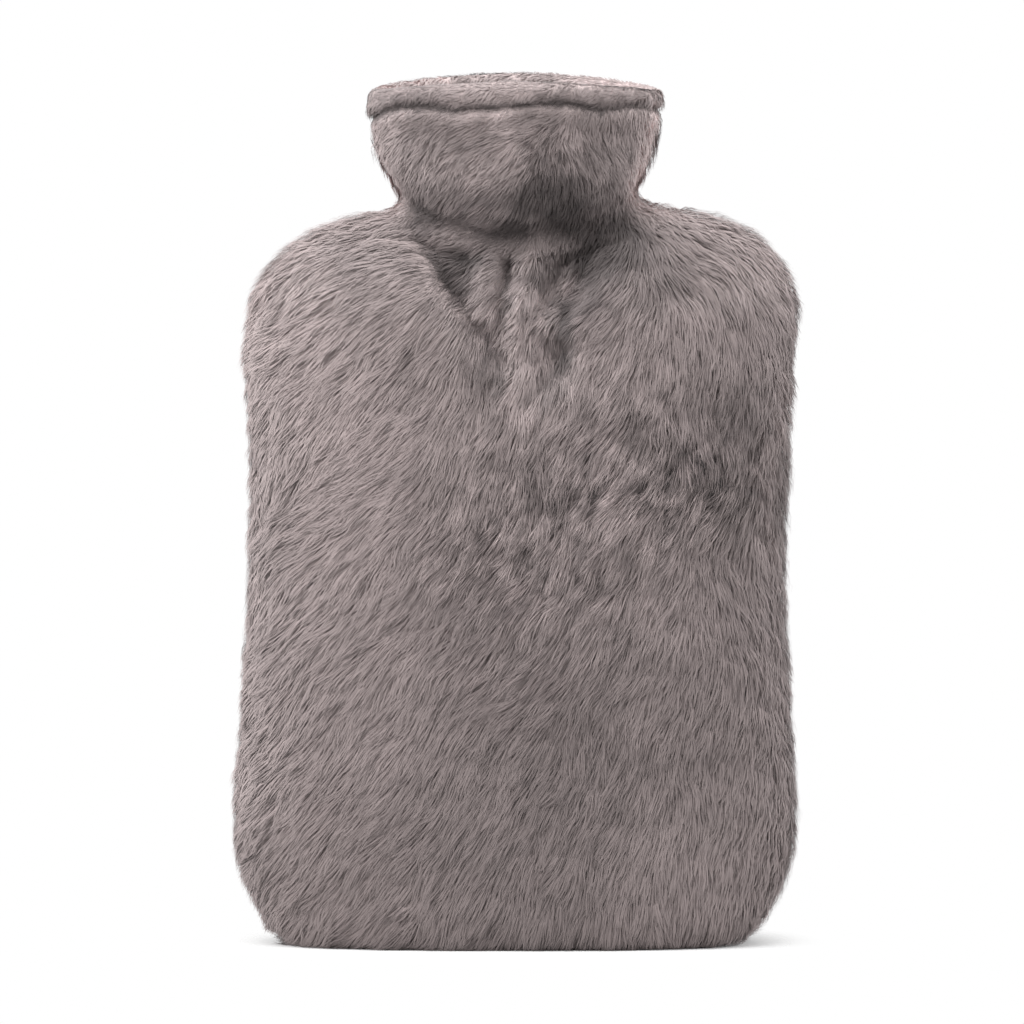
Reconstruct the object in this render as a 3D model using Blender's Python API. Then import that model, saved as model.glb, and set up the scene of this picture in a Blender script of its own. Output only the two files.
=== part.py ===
"""Plush cover for a two-litre hot water bottle.

Two fur-cloth panels, front and back, are sewn together round the sides and the bottom and turned
out. They make a pouch that stands on its flat base. Each panel carries half of the neck and of the
funnel-shaped collar, whose top edge is turned in and stitched as a hem. The cloth is gathered under
the collar, so the front has a V-shaped hollow with upright pleats.

Metres, +Z up, -Y the front. The origin is the middle of the base.
"""

import math
from collections import namedtuple

import bmesh
import bpy

# Cloth
WALL = 0.0070  # backing and lying pile
HEM_WALL = 0.0098  # the cloth turned in on itself at the mouth
BASE_WALL = 0.0080
SEAM_GAP = 0.0003

# Base
FLAT_HALF = 0.0720  # half the width of the flat base
FLAT_DEPTH = 0.0235  # half its depth
CORNER_RISE = 0.0500  # height at which the outline's bottom corners end
BELLY_RISE = 0.0240  # height at which the base's front and back edges end
CORNER_POWER = 2.2

# Neck and collar
NECK_HEIGHT = 0.2925  # at the side seams
NECK_HALF = 0.0500  # half its width
NECK_SAG = 0.0150  # how much lower the gathered neck lies at the middle
SAG_START = 0.2250
SAG_END = 0.3160
RIM_HEIGHT = 0.3365  # at the side seams
RIM_CROWN = 0.0035  # how much higher the mouth's edge stands at the middle
RIM_ROUND = 0.0046  # radius of the mouth's rolled edge
ROLL_STEPS = 6
HEM_START = 0.3200
HEM_HEIGHT = 0.3262  # the stitched line, at the side seams
HEM_GROOVE = 0.0028
HEM_HALF = 0.0021

# The V-shaped hollow under the collar
HOLLOW_TIP = 0.2095
HOLLOW_TOP = 0.2780
HOLLOW_SPREAD = 0.57  # half-width gained for each metre above the tip
HOLLOW_LEAN = 0.0070  # how far its tip lies to the right of its top
HOLLOW_DEPTH = 0.0070
HOLLOW_EDGE = 0.0110
HOLLOW_EASE = 0.0260  # height over which it deepens above the tip

# Mesh density. crowding is the share by which columns crowd towards the middle.
Weave = namedtuple("Weave", "columns crowding")
FRONT_WEAVE = Weave(60, 0.60)
BACK_WEAVE = Weave(32, 0.34)
CAVITY_WEAVE = Weave(22, 0.34)

FRONT, BACK = -1, 1

# Outline and thickness, by height at the side seams. square is the section's superellipse power.
Section = namedtuple("Section", "height left right front back square")
SECTIONS = (
    Section(0.0000, 0.1095, 0.1095, 0.0335, 0.0320, 2.7),
    Section(0.0500, 0.1100, 0.1100, 0.0358, 0.0340, 2.7),
    Section(0.0960, 0.1070, 0.1075, 0.0362, 0.0346, 2.6),
    Section(0.1480, 0.1044, 0.1056, 0.0360, 0.0344, 2.6),
    Section(0.1960, 0.1038, 0.1074, 0.0354, 0.0338, 2.6),
    Section(0.2300, 0.1056, 0.1084, 0.0344, 0.0328, 2.5),
    Section(0.2500, 0.1036, 0.1096, 0.0330, 0.0314, 2.4),
    Section(0.2600, 0.1004, 0.1073, 0.0322, 0.0306, 2.4),
    Section(0.2680, 0.0950, 0.1034, 0.0314, 0.0298, 2.3),
    Section(0.2750, 0.0866, 0.0976, 0.0304, 0.0289, 2.3),
    Section(0.2810, 0.0765, 0.0895, 0.0292, 0.0279, 2.2),
    Section(0.2860, 0.0636, 0.0780, 0.0274, 0.0267, 2.2),
    Section(0.2895, 0.0512, 0.0640, 0.0252, 0.0254, 2.2),
    Section(0.2925, 0.0472, 0.0520, 0.0238, 0.0244, 2.2),
    Section(0.2960, 0.0476, 0.0488, 0.0282, 0.0270, 2.2),
    Section(0.3000, 0.0496, 0.0500, 0.0316, 0.0296, 2.2),
    Section(0.3060, 0.0532, 0.0535, 0.0332, 0.0312, 2.2),
    Section(0.3140, 0.0560, 0.0562, 0.0336, 0.0320, 2.2),
    Section(0.3220, 0.0572, 0.0576, 0.0336, 0.0324, 2.2),
    Section(0.3300, 0.0586, 0.0587, 0.0340, 0.0330, 2.2),
    Section(0.3365, 0.0584, 0.0585, 0.0338, 0.0328, 2.2),
)

# How far the hem's stitched line wanders above its plain ring, at places across the mouth.
Stitch = namedtuple("Stitch", "x lift")
STITCHES = (
    Stitch(-0.0586, -0.0036),
    Stitch(-0.0540, -0.0008),
    Stitch(-0.0440, 0.0016),
    Stitch(-0.0330, 0.0022),
    Stitch(-0.0230, 0.0004),
    Stitch(-0.0070, 0.0012),
    Stitch(0.0140, 0.0030),
    Stitch(0.0260, 0.0018),
    Stitch(0.0460, 0.0024),
    Stitch(0.0587, -0.0006),
)

# Pleats (rise above nought) and creases (below nought) of the gathered front, each a short ridge.
Fold = namedtuple("Fold", "x0 z0 x1 z1 width rise")
FOLDS = (
    Fold(-0.0290, 0.2600, -0.0170, 0.2460, 0.0060, -0.0024),  # left arm of the V
    Fold(-0.0095, 0.2720, -0.0110, 0.2480, 0.0054, 0.0056),  # left pleat
    Fold(-0.0010, 0.2720, -0.0045, 0.2470, 0.0034, -0.0030),
    Fold(0.0055, 0.2740, 0.0020, 0.2560, 0.0052, 0.0050),  # middle pleat
    Fold(0.0020, 0.2560, 0.0030, 0.2260, 0.0058, 0.0058),
    Fold(0.0175, 0.2720, 0.0135, 0.2540, 0.0052, -0.0038),
    Fold(0.0215, 0.2460, 0.0110, 0.2480, 0.0062, 0.0036),  # the right side's lobe
    Fold(0.0160, 0.2330, 0.0120, 0.2240, 0.0052, -0.0036),  # pocket under it
    Fold(0.0330, 0.2680, 0.0245, 0.2570, 0.0060, -0.0024),  # right arm of the V
)

# Broad soft swellings of the front.
Swelling = namedtuple("Swelling", "x z width rise")
SWELLINGS = (
    Swelling(-0.0450, 0.2550, 0.0200, 0.0024),  # left shoulder
    Swelling(0.0520, 0.2520, 0.0200, 0.0022),  # right shoulder
    Swelling(-0.0480, 0.1500, 0.0380, 0.0014),
    Swelling(0.0060, 0.1560, 0.0180, -0.0012),
    Swelling(0.0560, 0.1000, 0.0360, 0.0012),
)

FUR_COLOUR = (0.292, 0.250, 0.246, 1.0)
FUR_ROUGHNESS = 0.85


def smooth_step(share):
    """An S-shaped ramp from nought to one, held level outside them."""
    share = min(1.0, max(0.0, share))
    return share * share * (3.0 - 2.0 * share)


def slope(rows, column, i):
    """Slope of a table's column at row i, so that a cubic through the rows doesn't overshoot."""
    if i in (0, len(rows) - 1):
        return 0.0
    before, here, after = rows[i - 1 : i + 2]
    rise_in = (here[column] - before[column]) / (here[0] - before[0])
    rise_out = (after[column] - here[column]) / (after[0] - here[0])
    if rise_in * rise_out <= 0.0:
        return 0.0
    return 2.0 * rise_in * rise_out / (rise_in + rise_out)


def row_at(rows, place):
    """A table's row at any place in its first column, on a smooth curve through its rows."""
    place = min(max(place, rows[0][0]), rows[-1][0])
    i = max(k for k in range(len(rows) - 1) if rows[k][0] <= place)
    low, high = rows[i], rows[i + 1]
    span = high[0] - low[0]
    t = (place - low[0]) / span
    values = [place]
    for column in range(1, len(low)):
        values.append(
            (1 + 2 * t) * (1 - t) ** 2 * low[column]
            + t * (1 - t) ** 2 * span * slope(rows, column, i)
            + t * t * (3 - 2 * t) * high[column]
            + t * t * (t - 1) * span * slope(rows, column, i + 1)
        )
    return type(low)(*values)


def corner_share(height, rise):
    """How much of the way out from the flat base an outline has come at a height."""
    if height >= rise:
        return 1.0
    return (1.0 - (1.0 - height / rise) ** CORNER_POWER) ** (1.0 / CORNER_POWER)


def sag_share(height):
    """How much of the neck's sag a ring takes: all at the neck, none at belly and rim."""
    if height <= NECK_HEIGHT:
        return smooth_step((height - SAG_START) / (NECK_HEIGHT - SAG_START))
    return 1.0 - smooth_step((height - NECK_HEIGHT) / (SAG_END - NECK_HEIGHT))


def crown_share(height):
    """How much of the mouth's crown a ring takes: all of it from the hem up."""
    return smooth_step((height - NECK_HEIGHT) / (HEM_START - NECK_HEIGHT))


def stitch_share(height):
    """How much of the stitched line's wander a ring takes: all at the line, none at the rim."""
    if height <= HEM_HEIGHT:
        return smooth_step((height - NECK_HEIGHT) / (HEM_HEIGHT - NECK_HEIGHT))
    return 1.0 - smooth_step((height - HEM_HEIGHT) / (RIM_HEIGHT - HEM_HEIGHT))


def hem_inset(height):
    """The groove under the mouth, where the hem is stitched down."""
    away = (height - HEM_HEIGHT) / HEM_HALF
    return HEM_GROOVE * math.exp(-away * away)


def hollow_share(x, z):
    """How deep a place lies in the V-shaped hollow, from nought to one."""
    above = z - HOLLOW_TIP
    if above <= 0.0:
        return 0.0
    lean = HOLLOW_LEAN * (1.0 - smooth_step(above / (HOLLOW_TOP - HOLLOW_TIP)))
    inside = HOLLOW_SPREAD * above - abs(x - lean)
    return smooth_step(0.5 + inside / HOLLOW_EDGE) * smooth_step(above / HOLLOW_EASE)


def fold_rise(fold, x, z):
    """Height of one pleat or crease at a place on the front."""
    run_x, run_z = fold.x1 - fold.x0, fold.z1 - fold.z0
    along = ((x - fold.x0) * run_x + (z - fold.z0) * run_z) / (run_x**2 + run_z**2)
    along = min(1.0, max(0.0, along))
    away = math.hypot(x - fold.x0 - along * run_x, z - fold.z0 - along * run_z) / fold.width
    return fold.rise * math.exp(-away * away)


def swelling_rise(swelling, x, z):
    """Height of one broad swelling at a place on the front."""
    away = math.hypot(x - swelling.x, z - swelling.z) / swelling.width
    return swelling.rise * math.exp(-away * away)


def front_relief(x, z):
    """How far the front stands out (or in) from its plain section.

    It fades within a cloth's thickness below the neck's crease.
    """
    crease = NECK_HEIGHT - NECK_SAG * max(0.0, 1.0 - (x / NECK_HALF) ** 2)
    relief = -HOLLOW_DEPTH * hollow_share(x, z)
    relief += sum(fold_rise(fold, x, z) for fold in FOLDS)
    relief += sum(swelling_rise(swelling, x, z) for swelling in SWELLINGS)
    return relief * smooth_step((crease - z) / WALL)


def reach_at(across, crowding):
    """Share of the half-width reached by a column, from -1 to 1 across a panel."""
    crowded = (1.0 - crowding) * across + crowding * across**3
    return math.sin(crowded * math.pi / 2)


def ring_lift(reach, x, height):
    """How far a point lies above its ring's height at the side seams."""
    middle = 1.0 - reach * reach
    lift = middle * (RIM_CROWN * crown_share(height) - NECK_SAG * sag_share(height))
    return lift + row_at(STITCHES, x).lift * stitch_share(height)


def ring_point(side, reach, height, inset=0.0, relief=True):
    """A point of a panel's ring.

    reach is the share of the half-width, height the ring's height at the side seams and inset how
    far the section is drawn in. relief says whether the hem, hollow and pleats are on it.
    """
    section = row_at(SECTIONS, height)
    if relief:
        inset += hem_inset(height)
    half = section.left if reach < 0 else section.right
    half = FLAT_HALF + (half - FLAT_HALF) * corner_share(height, CORNER_RISE)
    depth = section.front if side == FRONT else section.back
    depth = FLAT_DEPTH + (depth - FLAT_DEPTH) * corner_share(height, BELLY_RISE)
    x = (half - inset) * reach
    z = height + ring_lift(reach, x, height)
    bulge = max(0.0, 1.0 - abs(reach) ** section.square) ** (1.0 / section.square)
    out = (depth - inset) * bulge
    if relief and side == FRONT:
        out += front_relief(x, z) * smooth_step(2.0 * bulge)
    return x, side * (SEAM_GAP / 2 + out), z


def levels(*stretches):
    """Heights in even steps, from (end, step) pairs that start at the base."""
    heights = [0.0]
    for end, step in stretches:
        start = heights[-1]
        count = max(1, round((end - start) / step))
        heights += [start + (end - start) * i / count for i in range(1, count + 1)]
    return heights


def panel_rings(side, weave, heights):
    """The rings of a panel's outer face, from the base up and over the mouth's rolled edge."""
    centre = RIM_HEIGHT - RIM_ROUND
    rolls = [(height, 0.0) for height in heights if height < centre]
    for step in range(ROLL_STEPS):
        turn = math.pi * step / ROLL_STEPS
        rolls.append((centre + RIM_ROUND * math.sin(turn), RIM_ROUND * (1.0 - math.cos(turn))))
    spread = [-1 + 2 * i / weave.columns for i in range(weave.columns + 1)]
    reaches = [reach_at(across, weave.crowding) for across in spread]
    return [[ring_point(side, r, height, inset) for r in reaches] for height, inset in rolls]


def cavity_wall(side, height):
    """The cloth's thickness beside the bottle and at the middle, more behind the pleats."""
    hem = smooth_step((height - SAG_END) / (HEM_START - SAG_END))
    wall = WALL + (HEM_WALL - WALL) * hem
    if side == BACK:
        return wall, wall
    low = smooth_step((height - HOLLOW_TIP) / HOLLOW_EASE)
    high = smooth_step((SAG_END - height) / (SAG_END - NECK_HEIGHT))
    return wall, wall + HOLLOW_DEPTH * low * high


def cavity_ring(height, level):
    """A closed ring of the space for the bottle; level is the height to place it at."""
    ring = []
    for side in (FRONT, BACK):
        wall, middle_wall = cavity_wall(side, height)
        section = row_at(SECTIONS, height)
        depth = section.front if side == FRONT else section.back
        for i in range(CAVITY_WEAVE.columns):
            across = (1 - 2 * i / CAVITY_WEAVE.columns) * side
            reach = reach_at(across, CAVITY_WEAVE.crowding)
            x, y, z = ring_point(side, reach, height, inset=wall, relief=False)
            ring.append((x, y * (depth - middle_wall) / (depth - wall), z + level - height))
    return ring


def loft(name, rings, closed):
    """A solid through rings of points, with flat ends; open rings get a flat face between ends.

    Its triangles slant towards the lower middle, as the gathers do.
    """
    mesh = bpy.data.meshes.new(name)
    solid = bmesh.new()
    rows = [[solid.verts.new(point) for point in ring] for ring in rings]
    count = len(rows[0])
    for low, high in zip(rows, rows[1:]):
        for i in range(count if closed else count - 1):
            j = (i + 1) % count
            if i < count // 2:
                solid.faces.new((low[i], low[j], high[i]))
                solid.faces.new((low[j], high[j], high[i]))
            else:
                solid.faces.new((low[i], low[j], high[j]))
                solid.faces.new((low[i], high[j], high[i]))
    solid.faces.new(rows[0][::-1])
    solid.faces.new(rows[-1])
    if not closed:
        solid.faces.new([row[0] for row in rows] + [row[-1] for row in reversed(rows)])
    bmesh.ops.recalc_face_normals(solid, faces=solid.faces)
    solid.to_mesh(mesh)
    solid.free()
    mesh.shade_smooth()
    return bpy.data.objects.new(name, mesh)


def fur_cloth():
    """The plush cloth's plain material."""
    material = bpy.data.materials.new("fur_cloth")
    material.use_nodes = True
    shader = material.node_tree.nodes["Principled BSDF"]
    shader.inputs["Base Color"].default_value = FUR_COLOUR
    shader.inputs["Roughness"].default_value = FUR_ROUGHNESS
    shader.inputs["Metallic"].default_value = 0.0
    return material


def bottle_space():
    """The cutter that hollows both panels: a flat floor, the belly, the neck and the mouth."""
    over_rim = 0.012
    mouth = RIM_HEIGHT - RIM_ROUND
    belly = levels((0.052, 0.013), (0.200, 0.021), (0.284, 0.012), (0.300, 0.004), (mouth, 0.008))
    rings = [cavity_ring(height, height) for height in belly[1:]]
    rings.insert(0, cavity_ring(BASE_WALL, BASE_WALL))
    rings.append(cavity_ring(mouth, RIM_HEIGHT + over_rim))
    return loft("bottle_space", rings, closed=True)


def panel(name, side, weave, heights, cutter, material):
    """One panel: the lofted outer half with the bottle's space cut out of it."""
    piece = loft(name, panel_rings(side, weave, heights), closed=False)
    piece.data.materials.append(material)
    cut = piece.modifiers.new("bottle_space", "BOOLEAN")
    cut.operation = "DIFFERENCE"
    cut.solver = "EXACT"
    cut.object = cutter
    return piece


def front_heights():
    """The front's rings: close together in the gathers, at the neck and at the hem."""
    return levels(
        (0.012, 0.0035),
        (0.048, 0.0072),
        (0.204, 0.0142),
        (0.296, 0.0031),
        (0.318, 0.0037),
        (RIM_HEIGHT, 0.0014),
    )


def back_heights():
    """The back's rings."""
    return levels(
        (0.012, 0.004),
        (0.048, 0.009),
        (0.228, 0.018),
        (0.286, 0.0085),
        (0.298, 0.0034),
        (0.318, 0.0060),
        (RIM_HEIGHT, 0.0017),
    )


def main():
    """Builds the two panels."""
    for old in list(bpy.data.objects):
        bpy.data.objects.remove(old)
    parts = bpy.data.collections.new("hot_water_bottle_cover")
    cutters = bpy.data.collections.new("cutters")
    bpy.context.scene.collection.children.link(parts)
    bpy.context.scene.collection.children.link(cutters)

    space = bottle_space()
    space.hide_render = True
    cutters.objects.link(space)

    cloth = fur_cloth()
    front = panel("front_panel", FRONT, FRONT_WEAVE, front_heights(), space, cloth)
    back = panel("back_panel", BACK, BACK_WEAVE, back_heights(), space, cloth)
    parts.objects.link(front)
    parts.objects.link(back)


main()
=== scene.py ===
"""Looks of a plush cover for a hot water bottle: its cloth, its fur and the studio round it.

The form repeats the solids' own sizes, so each panel's cloth lies just under its solid's surface
and its fur reaches out to that surface. Metres, +Z up, -Y the front.
"""

from __future__ import annotations

import logging
import math
from collections.abc import Callable, Sequence
from dataclasses import dataclass, field, fields
from enum import Enum
from typing import Any

import bmesh
import bpy
import numpy as np
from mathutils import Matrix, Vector

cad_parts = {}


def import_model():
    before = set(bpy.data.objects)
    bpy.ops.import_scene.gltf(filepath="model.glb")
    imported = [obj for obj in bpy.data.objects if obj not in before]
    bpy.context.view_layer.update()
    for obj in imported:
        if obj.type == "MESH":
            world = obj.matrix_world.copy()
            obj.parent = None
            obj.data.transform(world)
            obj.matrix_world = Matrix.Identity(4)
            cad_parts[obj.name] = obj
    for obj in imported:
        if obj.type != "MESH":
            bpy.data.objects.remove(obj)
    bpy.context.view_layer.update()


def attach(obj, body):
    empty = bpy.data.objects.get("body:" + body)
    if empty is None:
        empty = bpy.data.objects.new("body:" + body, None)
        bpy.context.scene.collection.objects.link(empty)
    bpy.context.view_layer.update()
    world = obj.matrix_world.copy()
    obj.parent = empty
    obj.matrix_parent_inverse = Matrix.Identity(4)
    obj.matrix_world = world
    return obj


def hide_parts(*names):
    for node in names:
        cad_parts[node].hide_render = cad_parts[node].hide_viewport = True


Colour = tuple[float, float, float]
Socket = bpy.types.NodeSocket
BODY = "root"
LOG = logging.getLogger("hot_water_bottle_cover")


class Side(Enum):
    """Which panel of the cover a piece belongs to; the value is its direction along Y."""

    FRONT = -1
    BACK = 1


class Place(Enum):
    """Which stretch of the cloth a row runs along."""

    BASE = "base"
    OUTSIDE = "outside"
    RIM = "rim"
    INSIDE = "inside"


# ---------------------------------------------------------------------------------------------
# Form
# ---------------------------------------------------------------------------------------------


def smooth_step(share: np.ndarray) -> np.ndarray:
    """Returns an S-shaped ramp from nought to one, held level outside them."""
    share = np.clip(share, 0.0, 1.0)
    return share * share * (3.0 - 2.0 * share)


def ramp(share: float) -> float:
    """Returns the same ramp at a single place."""
    return float(smooth_step(np.array(share)))


def bell(away: np.ndarray) -> np.ndarray:
    """Returns one at nought, falling smoothly to nearly nought at two."""
    return np.exp(-away * away)


def bell_at(away: float) -> float:
    """Returns the same bell at a single place."""
    return math.exp(-(away**2))


def hump(place: np.ndarray, start: float, top: float, end: float) -> np.ndarray:
    """Works out a smooth hump: nought at its start, one at its top and nought at its end.

    Args:
        place: the places, by one measure.
        start: where the hump begins.
        top: where it is highest.
        end: where it ends.

    Returns:
        The hump's height at each place.
    """
    rise = smooth_step((place - start) / (top - start))
    fall = smooth_step((place - top) / (end - top))
    return np.where(place <= top, rise, 1.0 - fall)


def part_left(least: float, share: np.ndarray | float) -> np.ndarray | float:
    """Returns one where the share is nought, falling to the least where it is one."""
    return 1.0 - (1.0 - least) * share


def unit(vectors: np.ndarray) -> np.ndarray:
    """Returns the vectors at length one."""
    return vectors / np.maximum(np.linalg.norm(vectors, axis=-1, keepdims=True), 1e-12)


class Curves:
    """Smooth curves through the columns of a table, without overshoot."""

    def __init__(self, rows: Sequence[Sequence[float]]) -> None:
        """Works out the slopes at the rows.

        Args:
            rows: the table; its first column is the place and rises from row to row.
        """
        table = np.array(rows, dtype=float)
        self.places = table[:, 0]
        self.values = table[:, 1:]
        rise = np.diff(self.values, axis=0) / np.diff(self.places)[:, None]
        before, after = rise[:-1], rise[1:]
        same_way = before * after > 0.0
        total = np.where(same_way, before + after, 1.0)
        self.slopes = np.zeros_like(self.values)
        self.slopes[1:-1] = np.where(same_way, 2.0 * before * after / total, 0.0)

    def at(self, place: np.ndarray) -> np.ndarray:
        """Reads the curves.

        Args:
            place: places in the first column, held to the table's ends.

        Returns:
            An array with one more axis than place, for the table's other columns.
        """
        place = np.clip(place, self.places[0], self.places[-1])
        i = np.clip(np.searchsorted(self.places, place, side="right") - 1, 0, len(self.places) - 2)
        span = (self.places[i + 1] - self.places[i])[..., None]
        t = (place - self.places[i])[..., None] / span
        return (
            (1 + 2 * t) * (1 - t) ** 2 * self.values[i]
            + t * (1 - t) ** 2 * span * self.slopes[i]
            + t * t * (3 - 2 * t) * self.values[i + 1]
            + t * t * (t - 1) * span * self.slopes[i + 1]
        )


@dataclass(frozen=True)
class Stretch:
    """A soft straight line on a panel with an amount of something, such as a pleat's height."""

    x0: float
    z0: float
    x1: float
    z1: float
    width: float
    amount: float

    def share(self, x: np.ndarray, z: np.ndarray) -> np.ndarray:
        """Works out how near places are to the line.

        Args:
            x: places across.
            z: places up.

        Returns:
            From nought, far from the line, to one on it.
        """
        run_x, run_z = self.x1 - self.x0, self.z1 - self.z0
        along = ((x - self.x0) * run_x + (z - self.z0) * run_z) / (run_x**2 + run_z**2)
        along = np.clip(along, 0.0, 1.0)
        away = np.hypot(x - self.x0 - along * run_x, z - self.z0 - along * run_z) / self.width
        return bell(away)


@dataclass(frozen=True)
class Spot:
    """A soft round place on a panel with an amount of something, such as height or shade."""

    x: float
    z: float
    width: float
    amount: float

    def share(self, x: np.ndarray, z: np.ndarray) -> np.ndarray:
        """Returns how near places are to the spot's middle, from nought to one."""
        away = np.hypot(x - self.x, z - self.z) / self.width
        return bell(away)


# Height at the side seams, half-widths left and right, half-depths front and back, squareness.
OUTLINE = (
    (0.0000, 0.1095, 0.1095, 0.0335, 0.0320, 2.7),
    (0.0500, 0.1100, 0.1100, 0.0358, 0.0340, 2.7),
    (0.0960, 0.1070, 0.1075, 0.0362, 0.0346, 2.6),
    (0.1480, 0.1044, 0.1056, 0.0360, 0.0344, 2.6),
    (0.1960, 0.1038, 0.1074, 0.0354, 0.0338, 2.6),
    (0.2300, 0.1056, 0.1084, 0.0344, 0.0328, 2.5),
    (0.2500, 0.1036, 0.1096, 0.0330, 0.0314, 2.4),
    (0.2600, 0.1004, 0.1073, 0.0322, 0.0306, 2.4),
    (0.2680, 0.0950, 0.1034, 0.0314, 0.0298, 2.3),
    (0.2750, 0.0866, 0.0976, 0.0304, 0.0289, 2.3),
    (0.2810, 0.0765, 0.0895, 0.0292, 0.0279, 2.2),
    (0.2860, 0.0636, 0.0780, 0.0274, 0.0267, 2.2),
    (0.2895, 0.0512, 0.0640, 0.0252, 0.0254, 2.2),
    (0.2925, 0.0472, 0.0520, 0.0238, 0.0244, 2.2),
    (0.2960, 0.0476, 0.0488, 0.0282, 0.0270, 2.2),
    (0.3000, 0.0496, 0.0500, 0.0316, 0.0296, 2.2),
    (0.3060, 0.0532, 0.0535, 0.0332, 0.0312, 2.2),
    (0.3140, 0.0560, 0.0562, 0.0336, 0.0320, 2.2),
    (0.3220, 0.0572, 0.0576, 0.0336, 0.0324, 2.2),
    (0.3300, 0.0586, 0.0587, 0.0340, 0.0330, 2.2),
    (0.3365, 0.0584, 0.0585, 0.0338, 0.0328, 2.2),
)

# How far the hem's stitched line wanders above its plain ring, at places across the mouth.
STITCHED_LINE = (
    (-0.0586, -0.0032),
    (-0.0540, -0.0013),
    (-0.0440, 0.0018),
    (-0.0330, 0.0011),
    (-0.0230, -0.0007),
    (-0.0070, -0.0004),
    (0.0140, 0.0018),
    (0.0260, 0.0013),
    (0.0340, 0.0001),
    (0.0430, 0.0018),
    (0.0500, 0.0026),
    (0.0587, 0.0004),
)

# How high the collar's long fringe ends, at places across it.
FRINGE = (
    (-0.0520, 0.2960),
    (-0.0440, 0.2947),
    (-0.0320, 0.2892),
    (-0.0200, 0.2845),
    (-0.0100, 0.2853),
    (0.0000, 0.2880),
    (0.0120, 0.2916),
    (0.0240, 0.2880),
    (0.0330, 0.2872),
    (0.0400, 0.2900),
    (0.0480, 0.2935),
    (0.0540, 0.2960),
)

# Pleats (above nought) and creases (below) of the gathered front.
FOLDS = (
    Stretch(-0.0290, 0.2600, -0.0170, 0.2460, 0.0060, -0.0024),  # left arm of the V
    Stretch(-0.0085, 0.2720, -0.0105, 0.2500, 0.0054, 0.0056),  # left pleat
    Stretch(0.0000, 0.2720, -0.0035, 0.2500, 0.0034, -0.0032),
    Stretch(0.0055, 0.2740, 0.0020, 0.2560, 0.0052, 0.0050),  # middle pleat
    Stretch(0.0020, 0.2560, 0.0030, 0.2260, 0.0058, 0.0058),
    Stretch(0.0175, 0.2720, 0.0135, 0.2540, 0.0052, -0.0038),
    Stretch(0.0215, 0.2460, 0.0110, 0.2480, 0.0062, 0.0036),  # the right side's lobe
    Stretch(0.0230, 0.2400, 0.0185, 0.2280, 0.0050, -0.0036),  # pocket under it
    Stretch(0.0330, 0.2680, 0.0245, 0.2570, 0.0060, -0.0024),  # right arm of the V
)

SWELLINGS = (
    Spot(-0.0450, 0.2550, 0.0200, 0.0024),  # left shoulder
    Spot(0.0520, 0.2520, 0.0200, 0.0022),  # right shoulder
    Spot(-0.0480, 0.1500, 0.0380, 0.0014),
    Spot(0.0060, 0.1560, 0.0180, -0.0012),
    Spot(0.0560, 0.1000, 0.0360, 0.0012),
)


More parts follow.
